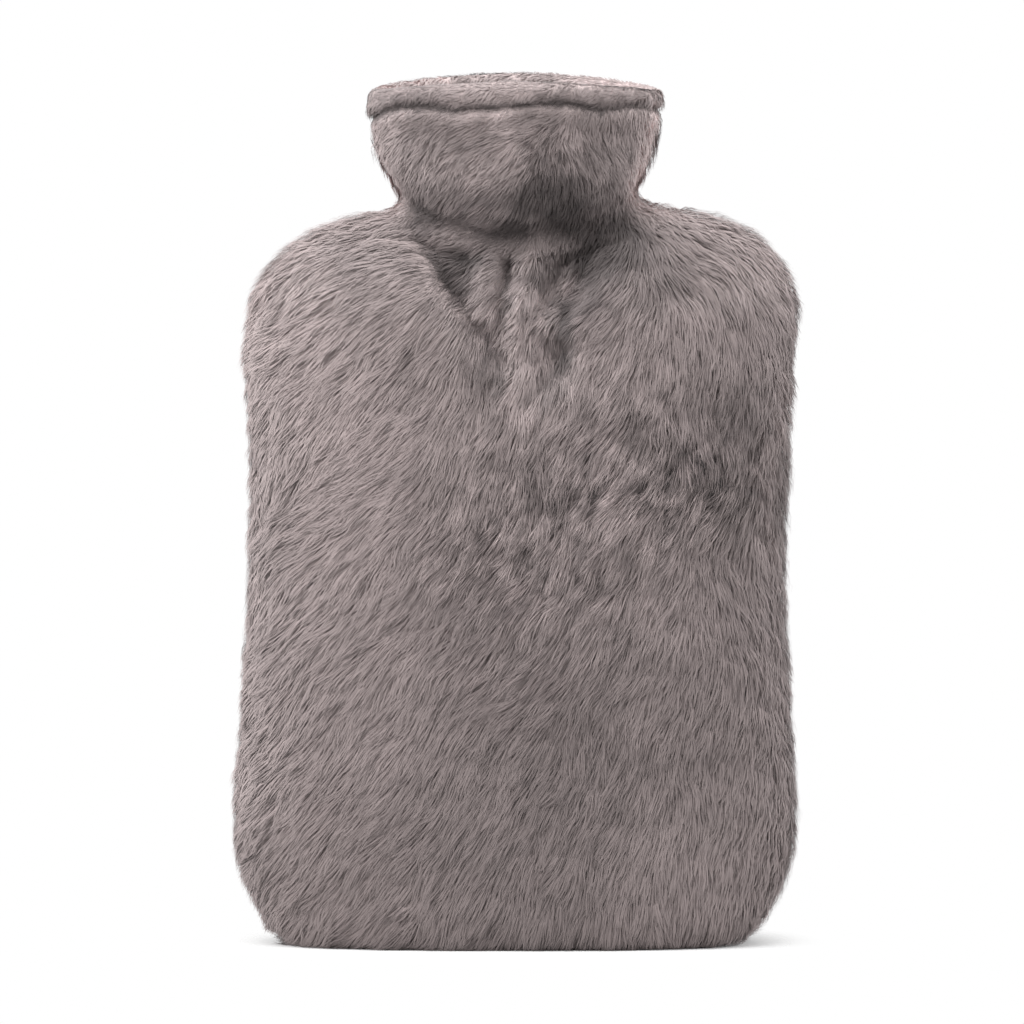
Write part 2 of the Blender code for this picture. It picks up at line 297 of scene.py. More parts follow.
@dataclass(frozen=True)
class PouchForm:
    """The cover's outer form: flat base, full belly, gathered neck and funnel collar.

    A place on a panel is its reach, from -1 to 1 across, and its height at the side seams.
    """

    flat_half: float = 0.0720
    flat_depth: float = 0.0235
    corner_rise: float = 0.0500
    belly_rise: float = 0.0240
    corner_power: float = 2.2
    neck_height: float = 0.2925
    neck_half: float = 0.0500
    neck_sag: float = 0.0150
    sag_start: float = 0.2250
    sag_end: float = 0.3160
    rim_height: float = 0.3365
    rim_crown: float = 0.0035
    rim_round: float = 0.0046
    hem_start: float = 0.3200
    hem_height: float = 0.3262
    hem_groove: float = 0.0020
    hem_half: float = 0.0021
    hollow_tip: float = 0.2095
    hollow_top: float = 0.2780
    hollow_spread: float = 0.57
    hollow_lean: float = 0.0070
    hollow_depth: float = 0.0088
    hollow_edge: float = 0.0110
    hollow_ease: float = 0.0260
    crease_fade: float = 0.0070
    relief_ease: float = 2.0
    outline: Curves = field(default_factory=lambda: Curves(OUTLINE))
    stitched_line: Curves = field(default_factory=lambda: Curves(STITCHED_LINE))

    @property
    def roll_centre(self) -> float:
        """Returns the height of the centre of the mouth's rolled edge."""
        return self.rim_height - self.rim_round

    def corner_share(self, height: np.ndarray, rise: float) -> np.ndarray:
        """Returns how much of the way out from the flat base an outline has come at a height."""
        left = np.clip(1.0 - height / rise, 0.0, 1.0)
        return (1.0 - left**self.corner_power) ** (1.0 / self.corner_power)

    def sag_share(self, height: np.ndarray) -> np.ndarray:
        """Returns how much of the neck's sag a ring takes: all at the neck, none at the rim."""
        return hump(height, self.sag_start, self.neck_height, self.sag_end)

    def stitch_share(self, height: np.ndarray) -> np.ndarray:
        """Returns how much of the stitched line's wander a ring takes."""
        return hump(height, self.neck_height, self.hem_height, self.rim_height)

    def top_share(self, height: float) -> float:
        """Returns nought up to the end of the neck's sag, and one from the stitched line up."""
        return ramp((height - self.sag_end) / (self.hem_height - self.sag_end))

    def hollow_share(self, x: np.ndarray, z: np.ndarray) -> np.ndarray:
        """Works out how deep places lie in the V-shaped hollow.

        Args:
            x: places across.
            z: places up.

        Returns:
            From nought outside the hollow to one at its deepest.
        """
        above = np.maximum(z - self.hollow_tip, 0.0)
        lean = self.hollow_lean * (1.0 - smooth_step(above / (self.hollow_top - self.hollow_tip)))
        inside = self.hollow_spread * above - np.abs(x - lean)
        return smooth_step(0.5 + inside / self.hollow_edge) * smooth_step(above / self.hollow_ease)

    def relief(self, x: np.ndarray, z: np.ndarray, folds: float) -> np.ndarray:
        """Works out how far the gathered front stands out from its plain section.

        Args:
            x: places across.
            z: their heights.
            folds: share of the pleats' and creases' height that is taken.

        Returns:
            The distances, fading out under the neck's crease.
        """
        arch = np.maximum(0.0, 1.0 - (x / self.neck_half) ** 2)
        crease = self.neck_height - self.neck_sag * arch
        rise = -self.hollow_depth * self.hollow_share(x, z)
        rise = rise + sum(folds * fold.amount * fold.share(x, z) for fold in FOLDS)
        rise = rise + sum(spot.amount * spot.share(x, z) for spot in SWELLINGS)
        return rise * smooth_step((crease - z) / self.crease_fade)

    def points(
        self, side: Side, reach: np.ndarray, height: np.ndarray, inset: np.ndarray, folds: float
    ) -> np.ndarray:
        """Works out points of a panel's outer surface.

        Args:
            side: which panel.
            reach: share of the half-width, from -1 to 1.
            height: the ring's height at the side seams.
            inset: how far the section is drawn in.
            folds: share of the pleats' height, or nought for the plain form without relief.

        Returns:
            The points, with X, Y and Z on the last axis.
        """
        left, right, front, back, square = np.moveaxis(self.outline.at(height), -1, 0)
        if folds > 0.0:
            away = (height - self.hem_height) / self.hem_half
            inset = inset + self.hem_groove * bell(away)
        half = np.where(reach < 0.0, left, right)
        spread = self.corner_share(height, self.corner_rise)
        half = self.flat_half + (half - self.flat_half) * spread
        depth = front if side is Side.FRONT else back
        spread = self.corner_share(height, self.belly_rise)
        depth = self.flat_depth + (depth - self.flat_depth) * spread
        x = (half - inset) * reach
        crown = (height - self.neck_height) / (self.hem_start - self.neck_height)
        lift = self.rim_crown * smooth_step(crown) - self.neck_sag * self.sag_share(height)
        z = height + (1.0 - reach**2) * lift
        z = z + self.stitched_line.at(x)[..., 0] * self.stitch_share(height)
        bulge = np.maximum(0.0, 1.0 - np.abs(reach) ** square) ** (1.0 / square)
        out = (depth - inset) * bulge
        if folds > 0.0 and side is Side.FRONT:
            out = out + self.relief(x, z, folds) * smooth_step(self.relief_ease * bulge)
        return np.stack([x, side.value * out, z], axis=-1)


# ---------------------------------------------------------------------------------------------
# Cloth
# ---------------------------------------------------------------------------------------------


@dataclass(frozen=True)
class Row:
    """A line of the cloth across a panel; station is its distance along the cloth's middle."""

    place: Place
    station: float
    height: float
    inset: float = 0.0
    base_share: float = 1.0

    @property
    def at_mouth(self) -> bool:
        """Returns whether the row runs over the mouth's rolled edge or down inside it."""
        return self.place in (Place.RIM, Place.INSIDE)


@dataclass(frozen=True)
class Weave:
    """How finely a panel's cloth is meshed; crowding draws its columns to the middle."""

    columns: int
    crowding: float
    row_step: float

    def reaches(self) -> np.ndarray:
        """Spreads the columns over the panel, closer at its sides.

        Returns:
            The columns' reaches, from -1 to 1.
        """
        across = np.linspace(-1.0, 1.0, self.columns + 1)
        crowded = (1.0 - self.crowding) * across + self.crowding * across**3
        return np.sin(crowded * math.pi / 2)

    def seam_share(self, start: np.ndarray | float = 0.80, width: float = 0.20) -> np.ndarray:
        """Returns nought for the columns up to a reach, and one for those a width beyond it."""
        return smooth_step((np.abs(self.reaches()) - start) / width)


@dataclass
class Panel:
    """One panel's cloth: a grid from the seam under the base up and over the rim to the hem.

    Its grid lies where the fur is rooted, under the solid's surface by the depth of the pile.
    """

    form: PouchForm
    side: Side
    weave: Weave
    folds: float = 1.15
    pile_depth: float = 0.0048
    rim_depth: float = 0.0013
    foot_depth: float = 0.0022
    foot_rise: float = 0.0240
    edge_rise: float = 0.25
    corner_depth: float = 0.0004
    mouth_arch: float = 0.0007
    arch_fall: float = 1.6
    base_rows: tuple[float, ...] = (0.0, 0.25, 0.5, 0.75, 0.92)
    rim_rows: int = 10
    hem_rows: int = 6
    hem_turn: float = 0.0135
    thickness: float = 0.0012
    rows: list[Row] = field(init=False)
    roots: np.ndarray = field(init=False)
    normals: np.ndarray = field(init=False)
    slopes: np.ndarray = field(init=False)
    across: np.ndarray = field(init=False)
    upward: np.ndarray = field(init=False)

    def __post_init__(self) -> None:
        """Lays the cloth out."""
        self.rows = self.cloth_rows()
        reach = np.broadcast_to(self.weave.reaches(), (len(self.rows), self.weave.columns + 1))
        height = self.by_row(lambda row: row.height) + 0.0 * reach
        inset = self.by_row(lambda row: row.inset) + 0.0 * reach
        plain = self.form.points(self.side, reach, height, inset, 0.0)
        full = self.form.points(self.side, reach, height, inset, self.folds)
        for grid in (plain, full):
            grid[..., 1] *= self.by_row(lambda row: row.base_share)
        arch = self.mouth_arch * self.by_row(self.mouth_share)
        full[..., 2] += arch * (1.0 - self.arch_fall * np.abs(reach))
        self.across, self.upward, self.normals = self.directions(plain)
        edge = self.weave.seam_share()
        depth = self.depths()[:, None] * (1.0 - self.edge_rise * edge)
        mouth = self.by_row(lambda row: row.at_mouth)
        depth = np.where(mouth, depth + self.corner_depth * edge**2, depth)
        self.roots = full - self.normals * depth[..., None]
        self.roots[:, (0, -1), 1] = 0.0
        self.across, self.upward, self.slopes = self.directions(self.roots)

    def by_row(self, read: Callable[[Row], Any]) -> np.ndarray:
        """Returns what is read of each row, in one column."""
        return np.array([read(row) for row in self.rows])[:, None]

    def cloth_rows(self) -> list[Row]:
        """Lists the cloth's rows, closer where the form turns or is gathered.

        Returns:
            The rows, from the base's middle to the cloth's end inside the mouth.
        """
        form, step = self.form, self.weave.row_step
        rows = [
            Row(Place.BASE, form.flat_depth * (share - 1.0), 0.0, base_share=share)
            for share in self.base_rows
        ]
        # Lower and upper end of each stretch, and its rows' distance as a share of the weave's.
        stretches = (
            (0.000, 0.012, 0.7),
            (0.012, 0.050, 1.2),
            (0.050, 0.205, 1.7),
            (0.205, 0.262, 0.9),
            (0.262, 0.300, 0.6),
            (0.300, 0.318, 0.9),
            (0.318, form.roll_centre, 0.5),
        )
        for low, high, pace in stretches:
            count = max(2, round((high - low) / (step * pace)))
            for height in np.linspace(low, high, count, endpoint=False):
                rows.append(Row(Place.OUTSIDE, float(height), float(height)))
        for i in range(self.rim_rows + 1):
            turn = math.pi * i / self.rim_rows
            up, inset = form.rim_round * math.sin(turn), form.rim_round * (1.0 - math.cos(turn))
            station = form.roll_centre + form.rim_round * turn
            rows.append(Row(Place.RIM, station, form.roll_centre + up, inset))
        inset = 2.0 * form.rim_round
        for down in np.linspace(0.0, self.hem_turn, self.hem_rows + 1)[1:]:
            station = rows[-1].station + self.hem_turn / self.hem_rows
            rows.append(Row(Place.INSIDE, station, form.roll_centre - float(down), inset))
        return rows

    def directions(self, grid: np.ndarray) -> tuple[np.ndarray, np.ndarray, np.ndarray]:
        """Works out the grid's directions at each point.

        Args:
            grid: points by row and column.

        Returns:
            Unit vectors across the panel, along the cloth towards its hem, and out of its face.
        """
        along = np.gradient(grid, axis=0)
        over = np.gradient(grid, axis=1)
        normal = unit(-self.side.value * np.cross(over, along))
        base = [i for i, row in enumerate(self.rows) if row.place is Place.BASE]
        normal[base] = (0.0, 0.0, -1.0)
        normal[:, (0, -1), 1] = 0.0
        normal = unit(normal)
        along = unit(along - normal * np.sum(along * normal, axis=-1, keepdims=True))
        along[base] = (0.0, self.side.value, 0.0)
        return unit(np.cross(along, normal)) * -self.side.value, along, normal

    def mouth_share(self, row: Row) -> float:
        """Tells how far a row belongs to the mouth.

        Args:
            row: the row.

        Returns:
            Nought for a row under the stitched line and one for a row of the mouth.
        """
        if row.place is not Place.OUTSIDE:
            return 0.0 if row.place is Place.BASE else 1.0
        form = self.form
        return ramp((row.height - form.hem_height) / (form.roll_centre - form.hem_height))

    def depths(self) -> np.ndarray:
        """Works out how deep the cloth lies under the solid's surface.

        Returns:
            The depth of each row.
        """
        deep = []
        for row in self.rows:
            depth = self.foot_depth
            if row.place is not Place.BASE:
                depth += (self.pile_depth - self.foot_depth) * ramp(row.height / self.foot_rise)
                top = self.form.top_share(row.height) if row.place is Place.OUTSIDE else 1.0
                depth += (self.rim_depth - depth) * top
            deep.append(depth)
        return np.array(deep)

    def stations(self) -> np.ndarray:
        """Returns each row's station."""
        return np.array([row.station for row in self.rows])

    def mesh(self, name: str, low: int = 0, high: int | None = None) -> bpy.types.Mesh:
        """Builds the grid's mesh.

        Args:
            name: the mesh's name.
            low: the first row.
            high: the row past the last, or None for all the rest.

        Returns:
            A smooth mesh whose faces point out, with a UV map of the cloth's own metres.
        """
        grid = self.roots[low:high]
        rows, columns = grid.shape[:2]
        corners = np.arange(rows * columns).reshape(rows, columns)
        quads = np.stack(
            [corners[:-1, :-1], corners[:-1, 1:], corners[1:, 1:], corners[1:, :-1]], axis=-1
        ).reshape(-1, 4)
        if self.side is Side.BACK:
            quads = quads[:, ::-1]
        mesh = bpy.data.meshes.new(name)
        mesh.from_pydata(grid.reshape(-1, 3).tolist(), [], quads.tolist())
        down = np.linalg.norm(np.diff(grid, axis=0), axis=-1)
        over = np.linalg.norm(np.diff(grid, axis=1), axis=-1)
        v = np.concatenate([np.zeros((1, columns)), np.cumsum(down, axis=0)])
        u = np.concatenate([np.zeros((rows, 1)), np.cumsum(over, axis=1)], axis=1)
        flat = np.stack([u - u[:, -1:] / 2, v], axis=-1).reshape(-1, 2)
        cloth = mesh.uv_layers.new(name="cloth")
        cloth.uv.foreach_set("vector", flat[quads.reshape(-1)].ravel())
        mesh.shade_smooth()
        mesh.update()
        return mesh

    def sheet(
        self, name: str, shade: np.ndarray, fur_ground: bpy.types.Material, knit: bpy.types.Material
    ) -> bpy.types.Object:
        """Builds the panel's backing cloth.

        Args:
            name: the piece's name.
            shade: the painted shade and light of its fur side, by row and column.
            fur_ground: material of the face that carries the fur.
            knit: material of the knitted back.

        Returns:
            The cloth as an object with its thickness.
        """
        mesh = self.mesh(name)
        layer = mesh.attributes.new("shade", "FLOAT", "POINT")
        layer.data.foreach_set("value", shade.ravel())
        merged = bmesh.new()
        merged.from_mesh(mesh)
        bmesh.ops.remove_doubles(merged, verts=merged.verts, dist=1e-6)
        merged.to_mesh(mesh)
        merged.free()
        mesh.materials.append(fur_ground)
        mesh.materials.append(knit)
        piece = bpy.data.objects.new(name, mesh)
        bpy.context.scene.collection.objects.link(piece)
        wall = piece.modifiers.new("cloth", "SOLIDIFY")
        wall.thickness = self.thickness
        wall.offset = -1.0
        wall.material_offset = 1
        wall.use_even_offset = False
        return piece


# ---------------------------------------------------------------------------------------------
# Fur
# ---------------------------------------------------------------------------------------------

BROAD_STROKE = 0.020


@dataclass(frozen=True)
class Stroke:
    """How the fur is combed at a place: from root to tip, across and up."""

    x: float
    z: float
    across: float
    up: float
    width: float = BROAD_STROKE


FRONT_STROKES = (
    Stroke(-0.100, 0.258, -0.70, -0.65),
    Stroke(-0.072, 0.280, -0.80, -0.55),
    Stroke(-0.045, 0.284, -0.85, -0.40),
    Stroke(-0.037, 0.262, -0.85, -0.50),
    Stroke(-0.084, 0.216, -0.78, -0.62),
    Stroke(-0.045, 0.216, -0.73, -0.68),
    Stroke(-0.018, 0.212, -0.40, -0.90),
    Stroke(-0.084, 0.157, -0.79, -0.61),
    Stroke(-0.037, 0.157, -0.68, -0.73),
    Stroke(0.000, 0.176, -0.25, -0.97),
    Stroke(0.000, 0.117, -0.32, -0.95),
    Stroke(-0.084, 0.078, -0.72, -0.69),
    Stroke(-0.037, 0.059, -0.58, -0.81),
    Stroke(0.000, 0.039, -0.35, -0.93),
    Stroke(0.033, 0.208, -0.60, -0.80),
    Stroke(0.036, 0.243, -0.65, -0.75),
    Stroke(0.064, 0.255, -0.30, -0.95),
    Stroke(0.088, 0.259, 0.30, -0.93),
    Stroke(0.072, 0.280, 0.75, -0.40),
    Stroke(0.099, 0.216, 0.00, -1.00),
    Stroke(0.072, 0.196, -0.35, -0.93),
    Stroke(0.049, 0.184, -0.40, -0.90),
    Stroke(0.095, 0.168, -0.10, -1.00),
    Stroke(0.072, 0.117, -0.20, -0.98),
    Stroke(0.053, 0.078, -0.28, -0.96),
    Stroke(0.095, 0.078, -0.10, -0.99),
    Stroke(0.072, 0.027, -0.25, -0.97),
    Stroke(-0.101, 0.210, -0.25, -0.97, 0.009),  # down along the left seam
    Stroke(-0.101, 0.180, -0.10, -0.99, 0.009),
    Stroke(-0.101, 0.148, -0.05, -1.00, 0.009),
    Stroke(-0.015, 0.142, -0.62, -0.78, 0.013),  # slanting more across the lower middle
    Stroke(0.010, 0.124, -0.86, -0.50, 0.014),
    Stroke(0.008, 0.107, -0.74, -0.67, 0.013),
    Stroke(-0.014, 0.087, -0.60, -0.80, 0.012),
    Stroke(0.010, 0.070, -0.28, -0.96, 0.015),
    Stroke(-0.058, 0.136, -0.82, -0.57, 0.014),
    Stroke(-0.034, 0.210, -0.82, -0.57, 0.011),
    Stroke(0.036, 0.214, -0.85, -0.55, 0.011),
    Stroke(0.066, 0.272, 0.90, -0.30, 0.008),  # turning and crossing on the right
    Stroke(0.071, 0.200, 0.62, -0.78, 0.009),
    Stroke(0.080, 0.175, -0.85, -0.55, 0.008),
    Stroke(0.083, 0.130, 0.60, -0.80, 0.008),
    Stroke(-0.025, 0.266, -0.75, -0.65, 0.007),  # the V's left arm
    Stroke(-0.013, 0.258, -0.72, -0.70, 0.008),  # its left pleat
    Stroke(-0.012, 0.232, 0.15, -0.98, 0.008),
    Stroke(0.003, 0.250, -0.60, -0.80, 0.008),  # its middle pleat
    Stroke(0.002, 0.222, -0.40, -0.92, 0.008),
    Stroke(0.018, 0.232, 0.30, -0.95, 0.007),  # its pocket
    Stroke(0.018, 0.266, 0.25, -0.97, 0.007),
    Stroke(0.027, 0.258, -0.70, -0.70, 0.009),
    Stroke(-0.040, 0.323, -0.85, -0.50, 0.009),  # collar, round its whorl
    Stroke(-0.046, 0.309, -0.55, -0.83, 0.010),
    Stroke(-0.026, 0.318, -0.75, -0.65, 0.010),
    Stroke(-0.004, 0.324, -0.90, -0.45, 0.008),
    Stroke(0.012, 0.325, -0.85, -0.40, 0.007),
    Stroke(0.027, 0.327, -0.55, -0.75, 0.008),
    Stroke(-0.012, 0.304, -0.50, -0.87, 0.009),
    Stroke(0.006, 0.306, -0.25, -0.97, 0.008),
    Stroke(0.013, 0.300, 0.00, -1.00, 0.008),
    Stroke(0.024, 0.316, 0.80, -0.60, 0.006),
    Stroke(0.028, 0.304, 0.30, -0.95, 0.008),
    Stroke(0.042, 0.326, -0.10, -1.00, 0.008),
    Stroke(0.040, 0.313, 0.75, -0.65, 0.008),
    Stroke(0.050, 0.304, 0.55, -0.85, 0.010),
)

BACK_STROKES = (
    Stroke(-0.080, 0.262, -0.80, -0.50),
    Stroke(-0.040, 0.270, -0.50, -0.80),
    Stroke(0.000, 0.262, 0.10, -1.00),
    Stroke(0.045, 0.268, 0.55, -0.80),
    Stroke(0.082, 0.258, 0.75, -0.60),
    Stroke(-0.070, 0.190, -0.35, -0.93),
    Stroke(-0.020, 0.180, 0.15, -0.97),
    Stroke(0.030, 0.195, 0.40, -0.90),
    Stroke(0.075, 0.175, 0.30, -0.95),
    Stroke(-0.075, 0.110, -0.15, -0.98),
    Stroke(-0.020, 0.105, 0.25, -0.95),
    Stroke(0.040, 0.115, 0.45, -0.88),
    Stroke(0.080, 0.090, 0.20, -0.97),
    Stroke(-0.060, 0.035, 0.10, -1.00),
    Stroke(0.000, 0.040, 0.25, -0.97),
    Stroke(0.060, 0.030, 0.35, -0.93),
    Stroke(-0.030, 0.312, -0.40, -0.90, 0.012),
    Stroke(0.015, 0.310, 0.10, -1.00, 0.012),
    Stroke(0.045, 0.312, 0.45, -0.88, 0.012),
)

# Painted shade (below nought) and painted highlights (above nought) in the fur's colour: darker in
# creases, hollows, the pocket and under the collar, paler on ridges and edges; broad patches are
# partly the fur's own uneven tone and partly painted shade and light.
FRONT_PAINTED_SHADES = (
    Spot(0.098, 0.270, 0.018, 0.18),
    Spot(0.095, 0.177, 0.013, -0.20),
    Spot(0.056, 0.193, 0.014, -0.30),
    Spot(0.053, 0.262, 0.006, -0.15),
    Spot(0.082, 0.209, 0.016, -0.34),
    Spot(0.012, 0.187, 0.010, -0.18),
    Spot(-0.080, 0.232, 0.020, 0.18),
    Spot(-0.060, 0.205, 0.018, 0.12),
    Spot(-0.054, 0.146, 0.020, 0.10),
    Spot(-0.094, 0.038, 0.016, -0.12),
    Spot(0.010, 0.105, 0.035, -0.09),
    Spot(0.023, 0.106, 0.018, -0.14),
    Spot(0.028, 0.070, 0.026, -0.08),
    Spot(0.078, 0.030, 0.030, 0.22),
    Spot(0.000, 0.056, 0.042, -0.12),
    Spot(0.018, 0.017, 0.022, -0.16),
    Spot(-0.045, 0.046, 0.028, -0.10),
    Spot(0.087, 0.172, 0.012, -0.12),
    Spot(0.088, 0.222, 0.012, -0.14),
    Spot(0.045, 0.180, 0.014, 0.24),
    Spot(0.076, 0.110, 0.020, -0.13),
    Spot(-0.100, 0.206, 0.014, -0.10),
    Spot(0.075, 0.203, 0.009, 0.18),
    Spot(-0.056, 0.275, 0.014, -0.18),
    Spot(-0.052, 0.263, 0.010, -0.14),
    Spot(-0.075, 0.255, 0.009, 0.16),
    Spot(-0.101, 0.092, 0.012, -0.12),
    Spot(0.064, 0.293, 0.009, 0.26),
    Spot(0.049, 0.231, 0.008, 0.16),
    Spot(0.033, 0.238, 0.006, 0.16),
    Spot(0.040, 0.260, 0.008, -0.16),
    Stretch(0.0400, 0.0840, 0.0950, 0.0820, 0.0035, -0.10),  # painted shade of ripples near the foot
    Stretch(0.0450, 0.0600, 0.0950, 0.0585, 0.0035, -0.08),
    Stretch(0.0500, 0.0330, 0.0900, 0.0320, 0.0035, -0.08),
    Stretch(-0.0334, 0.2744, -0.0213, 0.2603, 0.0050, -0.22),  # painted shade along the V's left edge
    Stretch(-0.0240, 0.2660, -0.0160, 0.2660, 0.0060, -0.40),
    Stretch(-0.0260, 0.2620, -0.0180, 0.2540, 0.0050, -0.40),
    Spot(-0.0110, 0.2480, 0.0048, 0.36),
    Spot(-0.0090, 0.2500, 0.0048, 0.70),
    Stretch(-0.0170, 0.2370, -0.0045, 0.2280, 0.0060, -0.32),
    Spot(0.0020, 0.2180, 0.0058, 0.52),
    Spot(0.0145, 0.2210, 0.0060, -0.30),
    Spot(0.0060, 0.2290, 0.0040, -0.10),
    Stretch(-0.0010, 0.2680, -0.0014, 0.2550, 0.0030, -0.50),  # painted shade between the pleats
    Spot(0.0060, 0.2645, 0.0036, -0.40),
    Spot(0.0040, 0.2600, 0.0038, -0.36),
    Stretch(0.0049, 0.2600, 0.0060, 0.2440, 0.0040, 0.12),  # painted highlight on the middle pleat
    Stretch(0.0085, 0.2460, 0.0100, 0.2310, 0.0045, 0.36),
    Spot(0.0048, 0.2525, 0.0046, 0.34),
    Spot(0.0085, 0.2560, 0.0045, 0.40),
    Stretch(0.0200, 0.2720, 0.0180, 0.2600, 0.0060, -0.20),  # painted shade right of the pleats
    Stretch(0.0250, 0.2860, 0.0330, 0.2720, 0.0095, -0.36),
    Stretch(0.0290, 0.2680, 0.0460, 0.2790, 0.0090, -0.62),
    Spot(0.0580, 0.2670, 0.0080, -0.38),
    Spot(0.0520, 0.2890, 0.0060, 0.28),
    Stretch(0.0190, 0.2490, 0.0350, 0.2560, 0.0065, -0.38),
    Spot(0.0215, 0.2590, 0.0042, 0.46),
    Spot(0.0230, 0.2630, 0.0042, 0.30),
    Spot(0.0160, 0.2480, 0.0040, 0.34),
    Spot(0.0560, 0.2220, 0.0070, 0.20),
    Spot(-0.0310, 0.2700, 0.0060, -0.34),
    Spot(-0.0370, 0.2550, 0.0060, 0.10),
    Spot(-0.0370, 0.2310, 0.0060, -0.22),
    Spot(0.0040, 0.2170, 0.0045, 0.20),
    Spot(0.0180, 0.2780, 0.0048, 0.28),
    Spot(0.0090, 0.2825, 0.0058, 0.26),
    Spot(-0.0095, 0.2850, 0.0046, 0.50),
    Stretch(0.0240, 0.2510, 0.0225, 0.2370, 0.0042, -0.55),  # painted shade in the pocket
    Stretch(0.0275, 0.2290, 0.0110, 0.2130, 0.0022, 0.12),  # painted highlight along the right arm's edge
    Spot(0.0195, 0.2310, 0.0045, -0.30),
    Stretch(-0.0147, 0.2456, -0.0033, 0.2225, 0.0016, -0.30),  # painted shade at the foot of the left arm
    Stretch(0.0200, 0.2340, 0.0130, 0.2245, 0.0040, -0.44),
    Spot(0.0090, 0.2390, 0.0048, 0.26),
    Spot(-0.0130, 0.2230, 0.0045, -0.12),
    Spot(-0.0020, 0.2120, 0.0040, -0.26),
    Stretch(-0.0340, 0.2900, 0.0000, 0.2850, 0.0070, -0.40),  # painted shadow under the collar
    Stretch(-0.0110, 0.2830, 0.0170, 0.2820, 0.0050, -0.20),
    Stretch(-0.0060, 0.2780, 0.0020, 0.2775, 0.0036, -0.34),
    Stretch(-0.0185, 0.2716, -0.0095, 0.2712, 0.0036, -0.62),
    Spot(-0.0335, 0.2850, 0.0055, -0.50),
    Spot(0.0340, 0.2790, 0.0070, -0.48),
    Spot(0.0410, 0.2785, 0.0056, -0.45),
    Stretch(0.0040, 0.2970, 0.0100, 0.2970, 0.0060, -0.34),
    Spot(-0.0420, 0.3100, 0.0060, -0.24),
    Spot(-0.0140, 0.3030, 0.0060, 0.24),
    Stretch(-0.0400, 0.2980, 0.0340, 0.2980, 0.0065, -0.40),
    Stretch(0.0140, 0.3060, 0.0180, 0.2960, 0.0090, -0.46),  # painted shade on the collar, under its whorl
    Spot(0.0105, 0.3165, 0.0045, -0.24),
    Spot(0.0030, 0.3150, 0.0050, 0.24),
    Spot(-0.0055, 0.3275, 0.0050, 0.44),
    Spot(0.0230, 0.3230, 0.0050, 0.20),
    Spot(0.0485, 0.3040, 0.0060, 0.42),
    Spot(0.0560, 0.3200, 0.0060, 0.50),
    Spot(0.0105, 0.2995, 0.0050, -0.30),
    Stretch(-0.0180, 0.3260, 0.0200, 0.3255, 0.0045, 0.34),
    Stretch(-0.0330, 0.3200, -0.0150, 0.3160, 0.0080, -0.26),
    Spot(0.0300, 0.3120, 0.0070, -0.22),
    Spot(-0.0440, 0.3230, 0.0070, 0.30),
    Spot(-0.0480, 0.3330, 0.0140, -0.34),
    Stretch(0.0530, 0.3260, 0.0500, 0.3020, 0.0070, 0.46),
    Spot(-0.0350, 0.3345, 0.0070, -0.22),
    Spot(0.0520, 0.3360, 0.0045, -0.28),
    Spot(0.0010, 0.3390, 0.0110, 0.28),
    Stretch(-0.0100, 0.3288, 0.0330, 0.3268, 0.0030, -0.34),
)

# Places where the fur is ruffled up and gathered in stronger locks than elsewhere.
FRONT_CLUMPS = (
    Spot(0.002, 0.168, 0.040, 1.80),
    Spot(0.076, 0.190, 0.032, 2.00),
    Spot(0.044, 0.190, 0.028, 0.90),
    Spot(0.036, 0.246, 0.022, 0.80),
    Spot(-0.002, 0.250, 0.024, 1.30),
    Spot(-0.014, 0.238, 0.009, 0.80),
    Spot(-0.025, 0.258, 0.008, 0.80),
    Stretch(-0.0380, 0.2890, 0.0400, 0.2880, 0.0080, 1.00),  # under the collar
    Stretch(-0.0400, 0.3120, 0.0400, 0.3120, 0.0160, 0.80),  # collar and its whorl
    Spot(0.012, 0.315, 0.012, 1.20),
    Spot(0.030, 0.110, 0.045, 0.70),
    Spot(-0.088, 0.250, 0.018, 0.80),
)

BACK_CLUMPS = (
    Spot(-0.020, 0.170, 0.040, 0.60),
    Spot(0.060, 0.120, 0.040, 0.40),
)

# Painted shade and light on the back: broad patches made a little darker and paler, and painted
# highlights along the rolled rim.
BACK_PAINTED_SHADES = (
    Spot(-0.060, 0.200, 0.030, -0.08),
    Spot(0.050, 0.140, 0.030, 0.06),
    Spot(0.020, 0.240, 0.025, -0.06),
    Spot(-0.0480, 0.3395, 0.0080, 0.42),
    Spot(-0.0320, 0.3410, 0.0070, 0.32),
    Spot(0.0300, 0.3410, 0.0080, 0.25),
    Spot(0.0450, 0.3400, 0.0070, 0.20),
)


